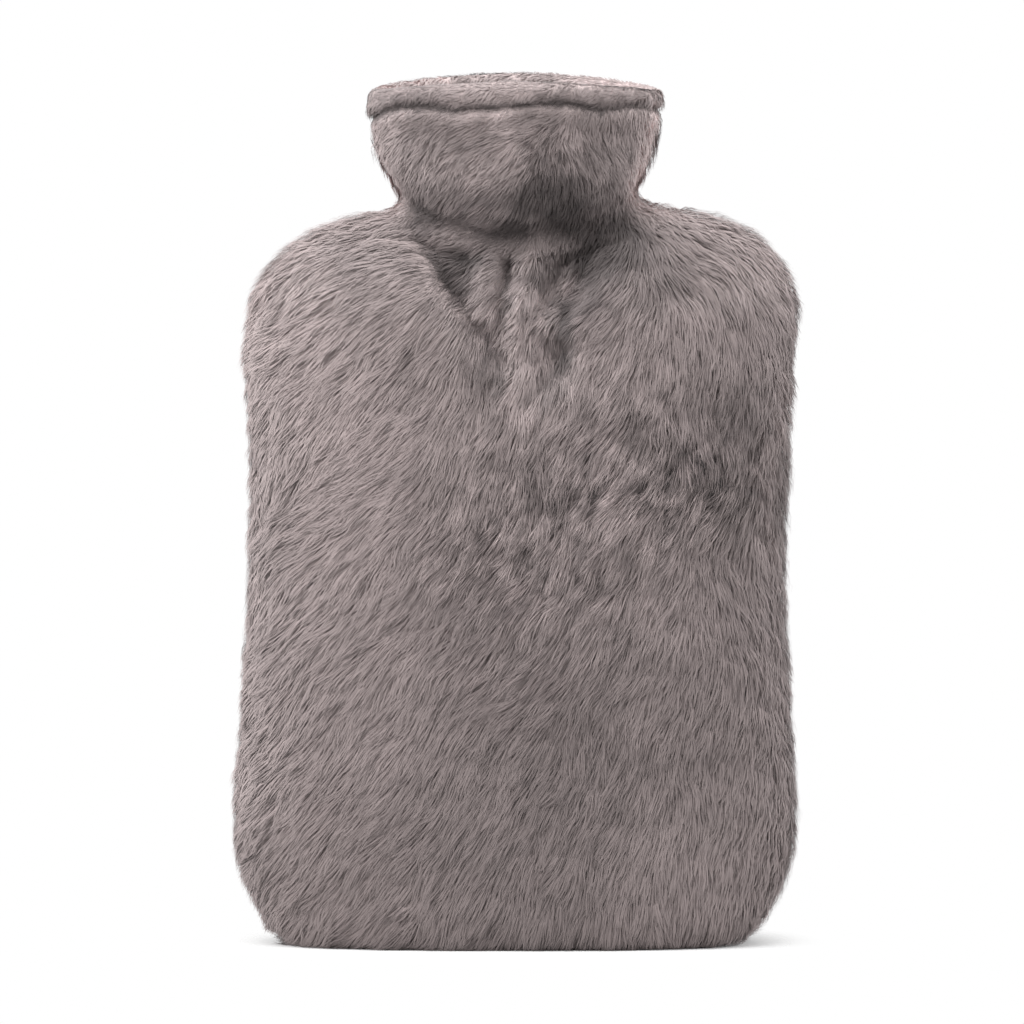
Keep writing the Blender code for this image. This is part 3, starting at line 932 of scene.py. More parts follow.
@dataclass(frozen=True)
class FurMap:
    """How the fur of a panel is combed, how it grows and where shade and light are painted
    into its colour, place by place.

    A pile, number or stand is a share of that of the hairs on the open belly; lean is how much
    the hairs stand square to the folds instead of to the plain form.
    """

    strokes: Sequence[Stroke]
    shades: Sequence[Spot | Stretch]
    clumps: Sequence[Spot | Stretch]
    fringe: Curves = field(default_factory=lambda: Curves(FRINGE))
    lean: float = 0.35

    # Combing of the mouth's rolled edge, and where the hairs part over it.
    rim_across: float = -0.72
    rim_up: float = -0.70
    rim_start: float = 0.0020
    far_weight: float = 1e-7
    parting: float = 0.35
    parting_width: float = 0.30

    # Length of the hairs, and how far from the neck's crease and the stitched line it is shorter.
    edge_pile: float = 0.82
    neck_pile: float = 0.78
    fringe_edge: float = 0.005
    hollow_pile: float = 0.62
    crease_pile: float = 0.72
    crease_width: float = 0.0045
    hem_pile: float = 0.22
    hem_width: float = 0.0030
    top_trim: float = 0.45
    rim_pile: float = 0.44
    inside_pile: float = 0.26
    mouth_trim: float = 0.25
    base_pile: float = 0.60
    foot_trim: float = 0.08
    foot_rise: float = 0.018
    spill: float = 0.45
    spill_x: float = -0.074
    spill_size: float = 0.014

    # Number of hairs.
    base_number: float = 0.55
    inside_number: float = 1.2
    rim_number: float = 2.0
    top_number: float = 0.6
    top_start: float = 0.322
    top_rise: float = 0.006
    stitch_trim: float = 0.5
    stitch_width: float = 0.0016

    # How strongly the hairs gather, how high they stand and how the light falls on them.
    plain_clump: float = 0.5
    smooth_stand: float = 0.70
    smooth_clump: float = 1.1
    smooth_range: float = 0.6
    mouth_stand: float = 0.6
    soft_light: float = 5.5
    ruffled_light: float = 0.85
    calm_light: float = 0.95
    calm_clump: float = 1.5
    plain_share: float = 0.15
    slope_share: float = 0.85
    turn_start: float = 0.72
    turn_width: float = 0.24
    turn_loss: float = 0.90
    back_loss: float = 0.99
    back_turn: float = 0.42
    back_start: float = 0.255
    back_rise: float = 0.015

    # Painted shade and painted light in the fur's colour, where nought is the fur's own colour.
    rim_painted_light: float = -0.07
    hem_painted_shade: float = 0.85
    hem_line: float = 0.0015
    neck_painted_shadow: float = 0.45
    neck_edge: float = 0.014
    neck_ease: float = 0.8
    seam_painted_light: float = 0.10
    seam_line_painted_light: float = 0.80
    seam_height: float = 0.298
    seam_length: float = 0.012
    front_seam: float = 0.4
    front_seam_start: float = 0.88
    front_seam_width: float = 0.12
    darkest: float = -0.75

    def comb(self, panel: Panel) -> np.ndarray:
        """Works out which way the fur is combed.

        Args:
            panel: the panel that the fur grows on.

        Returns:
            The direction at each point of the panel's grid.
        """
        x, z = panel.roots[..., 0], panel.roots[..., 2]
        across, up, total = np.zeros_like(x), np.zeros_like(x), np.full_like(x, 1e-9)
        for stroke in self.strokes:
            away = np.hypot(x - stroke.x, z - stroke.z) / stroke.width
            weight = np.exp(-0.5 * away * away) * (BROAD_STROKE / stroke.width)
            weight = weight + self.far_weight / (1.0 + away)
            across += weight * stroke.across
            up += weight * stroke.up
            total += weight
        rim = panel.by_row(lambda row: self.rim_share(panel, row))
        across = across / total + (self.rim_across - across / total) * rim
        up = up / total + (self.rim_up - up / total) * rim
        across, up = across[..., None], up[..., None]
        over = panel.by_row(lambda row: self.over_rim(panel, row))[..., None]
        parted = 1.0 - 2.0 * smooth_step((over - self.parting) / self.parting_width)
        turned = unit(across * panel.across + up * parted * panel.upward)
        level = np.concatenate([across, 0.0 * across, up], axis=-1)
        level = level - panel.normals * np.sum(level * panel.normals, axis=-1, keepdims=True)
        outside = panel.by_row(lambda row: row.place is Place.OUTSIDE)[..., None]
        return np.where(outside, unit(level), turned)

    def rim_share(self, panel: Panel, row: Row) -> float:
        """Returns nought for a row under the stitched line and one for a row of the rolled rim."""
        if row.at_mouth:
            return 1.0
        return ramp((row.height - panel.form.hem_height) / self.rim_start)

    def over_rim(self, panel: Panel, row: Row) -> float:
        """Returns how far over the rolled rim a row lies, from nought outside to one inside."""
        if not row.at_mouth:
            return 0.0
        return min(1.0, (row.station - panel.form.roll_centre) / (math.pi * panel.form.rim_round))

    def under_fringe(self, panel: Panel, width: float) -> np.ndarray:
        """Returns where the collar's short pile lies in the shade of its own fringe.

        Args:
            panel: the panel.
            width: how wide the fringe's edge is.

        Returns:
            Nought to one at each point of the panel's grid.
        """
        x, z = panel.roots[..., 0], panel.roots[..., 2]
        share = smooth_step(0.5 + (self.fringe.at(x)[..., 0] - z) / width)
        return share * panel.by_row(lambda row: row.height >= panel.form.neck_height)

    def pile(self, panel: Panel) -> np.ndarray:
        """Works out the hairs' share of their full length.

        Args:
            panel: the panel that the fur grows on.

        Returns:
            The share at each point of the panel's grid.
        """
        form, front = panel.form, panel.side is Side.FRONT
        x, z = panel.roots[..., 0], panel.roots[..., 2]
        edge = panel.weave.seam_share()
        length = np.ones_like(x) * part_left(self.edge_pile, edge)
        length *= part_left(self.neck_pile, self.under_fringe(panel, self.fringe_edge))
        if front:
            length *= part_left(self.hollow_pile, form.hollow_share(x, z) ** 3)
            for fold in FOLDS:
                if fold.amount < 0.0:
                    length *= part_left(self.crease_pile, fold.share(x, z))
        for i, row in enumerate(panel.rows):
            if row.place is Place.BASE:
                length[i] *= self.base_pile
                continue
            if row.at_mouth:
                over = ramp(2.0 * self.over_rim(panel, row))
                length[i] *= self.rim_pile + (self.inside_pile - self.rim_pile) * over
                length[i] *= 1.0 - self.mouth_trim * edge
                continue
            neck = bell_at((row.height - form.neck_height) / self.crease_width)
            hem = bell_at((row.height - form.hem_height) / self.hem_width)
            rim = self.rim_share(panel, row)
            length[i] *= part_left(self.crease_pile, neck)
            length[i] *= part_left(self.hem_pile / self.rim_pile, hem)
            length[i] *= part_left(self.rim_pile, rim)
            length[i] *= 1.0 - self.top_trim * form.top_share(row.height) * (1.0 - rim)
            foot = ramp(row.height / self.foot_rise)
            length[i] *= 1.0 - self.foot_trim + self.foot_trim * foot
            if front:
                corner = bell((x[i] - self.spill_x) / self.spill_size)
                corner = self.spill * corner * ramp(1.0 - row.height / self.spill_size)
                length[i] *= 1.0 + corner
        return length

    def thickness(self, panel: Panel) -> np.ndarray:
        """Works out the share of the full number of hairs.

        Args:
            panel: the panel that the fur grows on.

        Returns:
            The share at each point of the panel's grid.
        """
        numbers = {
            Place.BASE: self.base_number,
            Place.INSIDE: self.inside_number,
            Place.RIM: self.rim_number,
        }
        share = np.ones(panel.roots.shape[:2])
        for i, row in enumerate(panel.rows):
            if row.place in numbers:
                share[i] = numbers[row.place]
                continue
            hem = bell_at((row.height - panel.form.hem_height) / self.stitch_width)
            top = ramp((row.height - self.top_start) / self.top_rise)
            share[i] = (1.0 + self.top_number * top) * (1.0 - self.stitch_trim * hem)
        return share

    def clump(self, panel: Panel) -> np.ndarray:
        """Works out how strongly hairs gather in locks.

        Args:
            panel: the panel that the fur grows on.

        Returns:
            The strength at each point of the panel's grid; smooth fur has less than one.
        """
        x, z = panel.roots[..., 0], panel.roots[..., 2]
        start = self.plain_clump + 0.0 * x
        return sum((spot.amount * spot.share(x, z) for spot in self.clumps), start)

    def ground_normal(self, panel: Panel) -> np.ndarray:
        """Returns the cloth's normals, as long as they count against a hair's own normal.

        They count for little by the seams, where hairs are seen from the side, and over more of
        the back's shoulders and collar, whose hairs stand out beyond the neck.

        Args:
            panel: the panel that the fur grows on.

        Returns:
            The normals, each as long as it counts.
        """
        z, loss = panel.roots[..., 2], self.turn_loss
        start = self.turn_start + 0.0 * z
        if panel.side is Side.BACK:
            start = start - self.back_turn * smooth_step((z - self.back_start) / self.back_rise)
            loss = self.back_loss
        edge = panel.weave.seam_share(start, self.turn_width)[..., None]
        calm = np.clip(self.calm_clump - self.clump(panel), 0.0, 1.0)[..., None]
        light = self.ruffled_light + self.calm_light * calm
        length = self.soft_light * light * (1.0 - loss * edge)
        faces = panel.normals * self.plain_share + panel.slopes * self.slope_share
        return unit(faces) * length

    def stand(self, panel: Panel) -> np.ndarray:
        """Works out how high the hairs stand for their length.

        Args:
            panel: the panel that the fur grows on.

        Returns:
            The share at each point of the panel's grid, where one is the belly's.
        """
        edge = panel.weave.seam_share(self.turn_start, self.turn_width)
        smooth = smooth_step((self.smooth_clump - self.clump(panel)) / self.smooth_range)
        share = 1.0 - (1.0 - self.smooth_stand) * smooth * (1.0 - edge)
        outside = panel.by_row(lambda row: row.place is Place.OUTSIDE)
        return np.where(outside, share, self.mouth_stand)

    def shade(self, panel: Panel) -> np.ndarray:
        """Works out the painted shade and painted light: how much darker or paler the fur's colour
        is made.

        Args:
            panel: the panel that the fur grows on.

        Returns:
            The change at each point of the panel's grid.
        """
        x, z = panel.roots[..., 0], panel.roots[..., 2]
        edge = panel.weave.seam_share()
        tone = sum((mark.amount * mark.share(x, z) for mark in self.shades), np.zeros_like(x))
        # Painted shadow under the collar's fringe, less of it by the seams.
        under = self.neck_painted_shadow * self.under_fringe(panel, self.neck_edge)
        tone = tone - under * (1.0 - self.neck_ease * edge)
        # Painted light on the hairs by the neck's seams, which would look dark seen from the side.
        line = edge
        if panel.side is Side.FRONT:
            last = panel.weave.seam_share(self.front_seam_start, self.front_seam_width)
            line = self.front_seam * last
        pale = self.seam_painted_light * edge + self.seam_line_painted_light * line
        for i, row in enumerate(panel.rows):
            # Painted light on the rolled rim, painted shade where its amount is below nought.
            tone[i] += self.rim_painted_light * self.rim_share(panel, row)
            tone[i] += pale * bell_at((row.height - self.seam_height) / self.seam_length)
            if row.place is Place.OUTSIDE:
                # Painted shade: a dark line along the stitched groove.
                away = (row.height - panel.form.hem_height) / self.hem_line
                tone[i] -= self.hem_painted_shade * bell_at(away)
        return np.maximum(tone, self.darkest)


@dataclass(frozen=True)
class Pattern:
    """Unevenness from place to place: its turns to the metre, its strength and its detail."""

    scale: float
    strength: float = 1.0
    detail: float = 1.0


class NodeWriter:
    """Adds nodes to a tree and joins their sockets."""

    def __init__(self, tree: bpy.types.NodeTree) -> None:
        """Keeps the tree that is written."""
        self.tree = tree

    def add(
        self, kind: str, inputs: dict[Any, Any] | None = None, **settings: Any
    ) -> bpy.types.Node:
        """Adds a node.

        Args:
            kind: the node's type.
            inputs: values or outputs for its input sockets, by name or number.
            settings: the node's own settings.

        Returns:
            The node.
        """
        node = self.tree.nodes.new(kind)
        for name, value in settings.items():
            setattr(node, name, value)
        self.feed_all(node.inputs, inputs or {})
        return node

    def feed_all(self, inputs: Any, values: dict[Any, Any]) -> None:
        """Joins or sets several of a node's inputs, by name or number."""
        for key, value in values.items():
            self.feed(inputs[key], value)

    def feed(self, socket: Socket, value: Any) -> None:
        """Joins an output to a socket, or sets the socket's own value."""
        if isinstance(value, bpy.types.NodeSocket):
            self.tree.links.new(value, socket)
        else:
            socket.default_value = value

    def math(self, operation: str, a: Any, b: Any = 0.0, clamp: bool = False) -> Socket:
        """Returns the result of a sum of one or two numbers."""
        node = self.add("ShaderNodeMath", {0: a, 1: b}, operation=operation, use_clamp=clamp)
        return node.outputs[0]

    def plus(self, a: Any, b: Any, clamp: bool = False) -> Socket:
        """Returns two numbers added."""
        return self.math("ADD", a, b, clamp)

    def minus(self, a: Any, b: Any, clamp: bool = False) -> Socket:
        """Returns the first number less the second."""
        return self.math("SUBTRACT", a, b, clamp)

    def times(self, a: Any, b: Any) -> Socket:
        """Returns two numbers multiplied."""
        return self.math("MULTIPLY", a, b)

    def over(self, a: Any, b: Any) -> Socket:
        """Returns the first number divided by the second."""
        return self.math("DIVIDE", a, b)

    def vector(self, operation: str, a: Any, b: Any = None) -> Socket:
        """Adds a node that works with one or two vectors.

        Args:
            operation: its name.
            a: the first vector.
            b: the second vector, or a number for SCALE.

        Returns:
            Its result.
        """
        node = self.add("ShaderNodeVectorMath", {0: a}, operation=operation)
        if b is not None:
            self.feed(node.inputs["Scale" if operation == "SCALE" else 1], b)
        return node.outputs["Value" if operation in ("DOT_PRODUCT", "LENGTH") else "Vector"]

    def combine(self, x: Any, y: Any, z: Any) -> Socket:
        """Returns a vector made of three numbers."""
        return self.add("ShaderNodeCombineXYZ", {0: x, 1: y, 2: z}).outputs[0]

    def split(self, vector: Any) -> Any:
        """Returns a vector's three numbers, by the names X, Y and Z."""
        return self.add("ShaderNodeSeparateXYZ", {0: vector}).outputs

    def blend(self, factor: Any, a: Any, b: Any, way: str = "MIX") -> Socket:
        """Returns a blend of two colours."""
        return self.add(
            "ShaderNodeMix", {0: factor, 6: a, 7: b}, data_type="RGBA", blend_type=way
        ).outputs[2]

    def dimmed(self, colour: Any, level: Any) -> Socket:
        """Returns a colour multiplied by a level."""
        return self.blend(1.0, colour, self.combine(level, level, level), "MULTIPLY")

    def eased(
        self, value: Any, low: float, high: float, start: float = 0.0, end: float = 1.0
    ) -> Socket:
        """Returns an S-shaped ramp of a number.

        Args:
            value: the number.
            low: where the ramp begins.
            high: where it ends.
            start: the result at its beginning.
            end: the result at its end.

        Returns:
            The ramp's output.
        """
        limits = {"From Min": low, "From Max": high, "To Min": start, "To Max": end}
        return self.add(
            "ShaderNodeMapRange", {"Value": value, **limits}, interpolation_type="SMOOTHSTEP"
        ).outputs[0]

    def noise(self, place: Any, scale: float, detail: float = 1.0, output: str = "Fac") -> Socket:
        """Returns a noise at a place, from nought to one: a number, or a vector as Color."""
        values = {"Vector": place, "Scale": scale, "Detail": detail}
        return self.add("ShaderNodeTexNoise", values).outputs[output]

    def swing(self, place: Any, pattern: Pattern) -> Socket:
        """Returns a pattern's noise as a number that swings about nought."""
        noise = self.noise(place, pattern.scale, pattern.detail)
        return self.times(self.minus(noise, 0.5), pattern.strength)

    def drift(self, place: Any, scale: float) -> Socket:
        """Returns a noise as a vector that swings about nought."""
        return self.vector("SUBTRACT", self.noise(place, scale, output="Color"), (0.5, 0.5, 0.5))

    def object_place(self) -> Socket:
        """Returns the place on the object, in a material."""
        return self.add("ShaderNodeTexCoord").outputs["Object"]

    def bump(self, height: Any, distance: float, strength: float) -> Socket:
        """Returns a surface's normal with a height on it, in a material."""
        values = {"Height": height, "Distance": distance, "Strength": strength}
        return self.add("ShaderNodeBump", values).outputs[0]

    def mark(self, name: str, output: str = "Fac") -> Socket:
        """Returns a named attribute of the surface, in a material."""
        return self.add("ShaderNodeAttribute", attribute_name=name).outputs[output]


@dataclass(frozen=True)
class Pelt:
    """The fur's own sizes: its hairs, the locks and tufts that they gather in, and its waves."""

    length: float = 0.0135
    width: float = 0.00042
    root_lift: float = 1.00
    tip_lift: float = -0.32
    lock_size: float = 0.0034
    lock_pull: float = 0.34
    tuft_size: float = 0.0090
    tuft_pull: float = 0.22
    swirl: float = 0.75
    waviness: float = 0.0032
    curl: float = 0.0019
    ruffle: float = 0.55
    joints: int = 4


def input_name(size: str) -> str:
    """Returns the name of the fur tree's input for one of a pelt's sizes."""
    return size.replace("_", " ").title()


class FurTree:
    """A Geometry Nodes tree that grows fur on a ground mesh, as flat tapering hairs."""

    SOCKETS = {"float": "NodeSocketFloat", "int": "NodeSocketInt"}
    GROUND_MARKS = ("comb", "facing", "pile", "thick", "stand", "root", "hair", "over")
    LOWEST = (-1.0, -1.0, 0.0002)
    MERGE = 0.001

    # How tone, turn and pitch change from place to place.
    STREAK_TONE = Pattern(320.0, 6.0)
    LOCK_TONE = Pattern(150.0, 7.0, 2.0)
    BROAD_SWIRL = Pattern(26.0)
    CLOSE_SWIRL = Pattern(110.0, 0.6)
    RUFFLE = Pattern(190.0)
    WAVE_SCALE = 130.0
    BOW_SCALE = 200.0

    # How hairs differ by chance: least, most and a number for the draw.
    TONE = (-0.5, 0.5, 11)
    TURN = (-0.17, 0.17, 21)
    PITCH = (-0.09, 0.10, 22)
    ROLL = (-0.16, 0.16, 23)
    LENGTH = (0.78, 1.14, 24)
    WIDTH = (0.7, 1.3, 25)

    # A hair's width at its root and how it swells, and how late it leans to its lock and tuft.
    ROOT_WIDTH = 0.7
    SWELL = 0.6
    LOCK_POWER = 1.4
    TUFT_POWER = 2.0
    WAVE_HEIGHT = 2.0
    BOW_HEIGHT = 12.0

    # Smooth fur: how little of the swirl it takes, and how much broader its hairs are.
    SWIRL_TURN = 2.2
    CALM = 0.4
    BROADER = 0.32
    NARROWEST = 0.75

    # A hair's part of its cell in the UV map, over and along, and the margin beside it.
    CELL_OVER = (0.8, 0.1)
    CELL_ALONG = (0.84, 0.08)

    def __init__(self) -> None:
        """Builds the tree with its named inputs."""
        self.tree = bpy.data.node_groups.new("fur", "GeometryNodeTree")
        face = self.tree.interface
        face.new_socket("Ground", in_out="INPUT", socket_type="NodeSocketGeometry")
        face.new_socket("Hairs per Square Metre", in_out="INPUT", socket_type="NodeSocketFloat")
        for size in fields(Pelt):
            kind = self.SOCKETS[size.type]
            socket = face.new_socket(input_name(size.name), in_out="INPUT", socket_type=kind)
            socket.default_value = size.default
        face.new_socket("Seed", in_out="INPUT", socket_type="NodeSocketInt")
        face.new_socket("Material", in_out="INPUT", socket_type="NodeSocketMaterial")
        face.new_socket("Fur", in_out="OUTPUT", socket_type="NodeSocketGeometry")
        self.write = NodeWriter(self.tree)
        self.inputs = self.write.add("NodeGroupInput").outputs
        points, count = self.rooted_points()
        hairs = self.gathered(self.planted(points, self.hair()))
        dressed = self.write.add(
            "GeometryNodeSetMaterial",
            {"Geometry": self.atlas(hairs, count), "Material": self.inputs["Material"]},
        )
        self.write.add("NodeGroupOutput", {"Fur": dressed.outputs[0]})

    def read(self, name: str, kind: str = "FLOAT") -> Socket:
        """Returns a named attribute."""
        node = self.write.add("GeometryNodeInputNamedAttribute", {"Name": name}, data_type=kind)
        return node.outputs[0]

    def store(
        self, geometry: Any, name: str, value: Any, kind: str = "FLOAT", on: str = "POINT"
    ) -> Socket:
        """Stores a named attribute.

        Args:
            geometry: what it is stored on.
            name: the attribute's name.
            value: its value.
            kind: its data type.
            on: its domain.

        Returns:
            The geometry with the attribute.
        """
        return self.write.add(
            "GeometryNodeStoreNamedAttribute",
            {"Geometry": geometry, "Name": name, "Value": value},
            data_type=kind,
            domain=on,
        ).outputs[0]

    def random(self, least: float, most: float, draw: int) -> Socket:
        """Draws a random number for each point.

        Args:
            least: the least that it can be.
            most: the most that it can be.
            draw: the draw's own number, so that no two draws are alike.

        Returns:
            The random number.
        """
        seed = self.write.plus(self.inputs["Seed"], float(draw))
        values = {2: least, 3: most, "Seed": seed}
        return self.write.add("FunctionNodeRandomValue", values, data_type="FLOAT").outputs[1]

    def rooted_points(self) -> tuple[Any, Any]:
        """Scatters the hairs' roots.

        Returns:
            The points, which carry their own place, tone and number, and their count.
        """
        write = self.write
        density = write.times(self.inputs["Hairs per Square Metre"], self.read("thick"))
        points = write.add(
            "GeometryNodeDistributePointsOnFaces",
            {"Mesh": self.inputs["Ground"], "Density": density, "Seed": self.inputs["Seed"]},
            distribute_method="RANDOM",
        ).outputs["Points"]
        place = write.add("GeometryNodeInputPosition").outputs[0]
        points = self.store(points, "root", place, "FLOAT_VECTOR")
        tone = write.plus(write.swing(place, self.STREAK_TONE), self.random(*self.TONE))
        tone = write.plus(tone, write.swing(place, self.LOCK_TONE))
        points = self.store(points, "tone", tone)
        points = self.store(points, "hair", write.add("GeometryNodeInputIndex").outputs[0], "INT")
        size = write.add(
            "GeometryNodeAttributeDomainSize", {"Geometry": points}, component="POINTCLOUD"
        )
        return points, size.outputs["Point Count"]

    def hair(self) -> Socket:
        """Shapes one hair of length one: flat, tapering to a point, arched over its root.

        Returns:
            The hair, as a narrow strip of mesh.
        """
        write = self.write
        grid = write.add(
            "GeometryNodeMeshGrid",
            {"Size X": 1.0, "Size Y": 1.0, "Vertices X": 2, "Vertices Y": self.inputs["Joints"]},
        ).outputs["Mesh"]
        place = write.split(write.add("GeometryNodeInputPosition").outputs[0])
        hair = self.store(grid, "along", write.plus(place["Y"], 0.5))
        hair = self.store(hair, "over", write.plus(place["X"], 0.5))
        along = self.read("along")
        taper = write.math("SQRT", write.minus(1.0, along, clamp=True))
        swell = write.plus(write.times(along, self.SWELL), self.ROOT_WIDTH)
        x = write.times(write.minus(self.read("over"), 0.5), write.times(taper, swell))
        root, tip = self.inputs["Root Lift"], self.inputs["Tip Lift"]
        bend = write.minus(root, tip)
        lift = write.minus(root, write.times(bend, along))
        y = write.minus(write.math("SINE", root), write.math("SINE", lift))
        z = write.minus(write.math("COSINE", lift), write.math("COSINE", root))
        place = write.combine(x, write.over(y, bend), write.over(z, bend))
        shaped = write.add("GeometryNodeSetPosition", {"Geometry": hair, "Position": place})
        merge = {"Geometry": shaped.outputs[0], "Distance": self.MERGE}
        return write.add("GeometryNodeMergeByDistance", merge).outputs[0]

    def turned(self, rotation: Any, axis: tuple[float, float, float], angle: Any) -> Socket:
        """Turns a rotation further about one of its own axes.

        Args:
            rotation: the rotation.
            axis: the axis.
            angle: how far it turns.

        Returns:
            The new rotation.
        """
        by = self.write.add("FunctionNodeAxisAngleToRotation", {"Axis": axis, "Angle": angle})
        return self.write.add(
            "FunctionNodeRotateRotation",
            {"Rotation": rotation, "Rotate By": by.outputs[0]},
            rotation_space="LOCAL",
        ).outputs[0]

    def combed(self) -> Socket:
        """Works out each hair's rotation: as combed, swirling, ruffled and rolled a little.

        Returns:
            The rotation.
        """
        write, clump = self.write, self.read("clump")
        facing = write.add(
            "FunctionNodeAxesToRotation",
            {
                "Primary Axis": self.read("facing", "FLOAT_VECTOR"),
                "Secondary Axis": self.read("comb", "FLOAT_VECTOR"),
            },
            primary_axis="Z",
            secondary_axis="Y",
        ).outputs[0]
        root = self.read("root", "FLOAT_VECTOR")
        swirl = write.swing(root, self.BROAD_SWIRL)
        swirl = write.plus(swirl, write.swing(root, self.CLOSE_SWIRL))
        angle = write.times(swirl, write.times(self.inputs["Swirl"], self.SWIRL_TURN))
        angle = write.plus(angle, self.random(*self.TURN))
        calm = write.plus(self.CALM, write.times(clump, 1.0 - self.CALM))
        angle = write.times(angle, write.math("MINIMUM", calm, 1.0))
        facing = self.turned(facing, (0.0, 0.0, 1.0), angle)
        pitch = write.times(write.swing(root, self.RUFFLE), self.inputs["Ruffle"])
        pitch = write.plus(write.times(pitch, clump), self.random(*self.PITCH))
        facing = self.turned(facing, (1.0, 0.0, 0.0), pitch)
        roll = write.times(self.random(*self.ROLL), clump)
        return self.turned(facing, (0.0, 1.0, 0.0), roll)

    def planted(self, points: Any, hair: Any) -> Socket:
        """Sets a hair on each point, turned the way the fur is combed.

        Args:
            points: the roots.
            hair: one hair.

        Returns:
            All hairs as one mesh.
        """
        write, facing = self.write, self.combed()
        length = write.times(self.inputs["Length"], self.read("pile"))
        length = write.times(length, self.random(*self.LENGTH))
        width = write.times(self.inputs["Width"], self.random(*self.WIDTH))
        broad = write.times(self.read("clump"), self.BROADER)
        broad = write.minus(1.0 + self.BROADER, broad)
        width = write.times(width, write.math("MAXIMUM", broad, self.NARROWEST))
        size = write.combine(width, length, write.times(length, self.read("stand")))
        planted = write.add(
            "GeometryNodeInstanceOnPoints",
            {"Points": points, "Instance": hair, "Rotation": facing, "Scale": size},
        )
        realized = write.add("GeometryNodeRealizeInstances", {"Geometry": planted.outputs[0]})
        return realized.outputs[0]

    def pulled(self, size: Any, pull: Any, power: float) -> Socket:
        """Works out how far hairs lean to the middle of the lock or tuft that they are in.

        Args:
            size: how wide the locks are.
            pull: how much of the way the tips go.
            power: how late along a hair the lean begins.

        Returns:
            The offset, along the cloth.
        """
        write = self.write
        root = self.read("root", "FLOAT_VECTOR")
        normal = self.read("facing", "FLOAT_VECTOR")
        cells = write.add(
            "ShaderNodeTexVoronoi",
            {"Vector": root, "Scale": write.over(1.0, size)},
            voronoi_dimensions="3D",
        )
        lean = write.vector("SUBTRACT", cells.outputs["Position"], root)
        out = write.vector("SCALE", normal, write.vector("DOT_PRODUCT", lean, normal))
        lean = write.vector("SUBTRACT", lean, out)
        late = write.math("POWER", self.read("along"), power)
        return write.vector("SCALE", lean, write.times(late, pull))

    def gathered(self, hairs: Any) -> Socket:
        """Gathers the hairs in locks and tufts, waves them and keeps them above the floor.

        Args:
            hairs: the combed hairs.

        Returns:
            The hairs in their final places.
        """
        write, along, pile = self.write, self.read("along"), self.read("pile")
        root = self.read("root", "FLOAT_VECTOR")
        pull = write.times(self.inputs["Lock Pull"], self.read("clump"))
        lock = self.pulled(self.inputs["Lock Size"], pull, self.LOCK_POWER)
        tuft = self.pulled(self.inputs["Tuft Size"], self.inputs["Tuft Pull"], self.TUFT_POWER)
        wave = write.times(write.times(along, along), self.inputs["Waviness"])
        wave = write.times(write.times(wave, pile), self.WAVE_HEIGHT)
        wave = write.vector("SCALE", write.drift(root, self.WAVE_SCALE), wave)
        bow = write.times(along, write.minus(1.0, along))
        bow = write.times(bow, write.times(self.inputs["Curl"], pile))
        bow = write.times(bow, self.BOW_HEIGHT)
        bow = write.vector("SCALE", write.drift(root, self.BOW_SCALE), bow)
        place = write.add("GeometryNodeInputPosition").outputs[0]
        for offset in (lock, tuft, wave, bow):
            place = write.vector("ADD", place, offset)
        place = write.vector("MAXIMUM", place, self.LOWEST)
        moved = write.add("GeometryNodeSetPosition", {"Geometry": hairs, "Position": place})
        return moved.outputs[0]

    def atlas(self, hairs: Any, count: Any) -> Socket:
        """Gives each hair its own cell of a square UV map, for baking.

        Args:
            hairs: all hairs.
            count: how many there are.

        Returns:
            The hairs with the map, shaded smooth.
        """
        write = self.write
        side = write.math("CEIL", write.math("SQRT", count))
        number = self.read("hair", "INT")
        column = write.math("MODULO", number, side)
        row = write.math("FLOOR", write.over(number, side))
        ends = []
        for name, cell, (part, margin) in (
            ("over", column, self.CELL_OVER),
            ("along", row, self.CELL_ALONG),
        ):
            within = write.plus(write.times(self.read(name), part), margin)
            ends.append(write.over(write.plus(cell, within), side))
        u, v = ends
        hairs = self.store(hairs, "OFBake", write.combine(u, v, 0.0), "FLOAT2", "CORNER")
        return write.add("GeometryNodeSetShadeSmooth", {"Geometry": hairs}).outputs[0]

    def grow(self, ground: bpy.types.Object, values: dict[str, Any]) -> None:
        """Turns a ground object into its fur, as a plain mesh.

        Args:
            ground: an object with the fur map's attributes.
            values: the tree's inputs, by name.
        """
        modifier = ground.modifiers.new("fur", "NODES")
        modifier.node_group = self.tree
        for name, value in values.items():
            modifier[self.tree.interface.items_tree[name].identifier] = value
        graph = bpy.context.evaluated_depsgraph_get()
        evaluated = ground.evaluated_get(graph)
        mesh = bpy.data.meshes.new_from_object(
            evaluated, preserve_all_data_layers=True, depsgraph=graph
        )
        ground.modifiers.clear()
        ground.data = mesh
        for name in self.GROUND_MARKS:
            if name in mesh.attributes:
                mesh.attributes.remove(mesh.attributes[name])


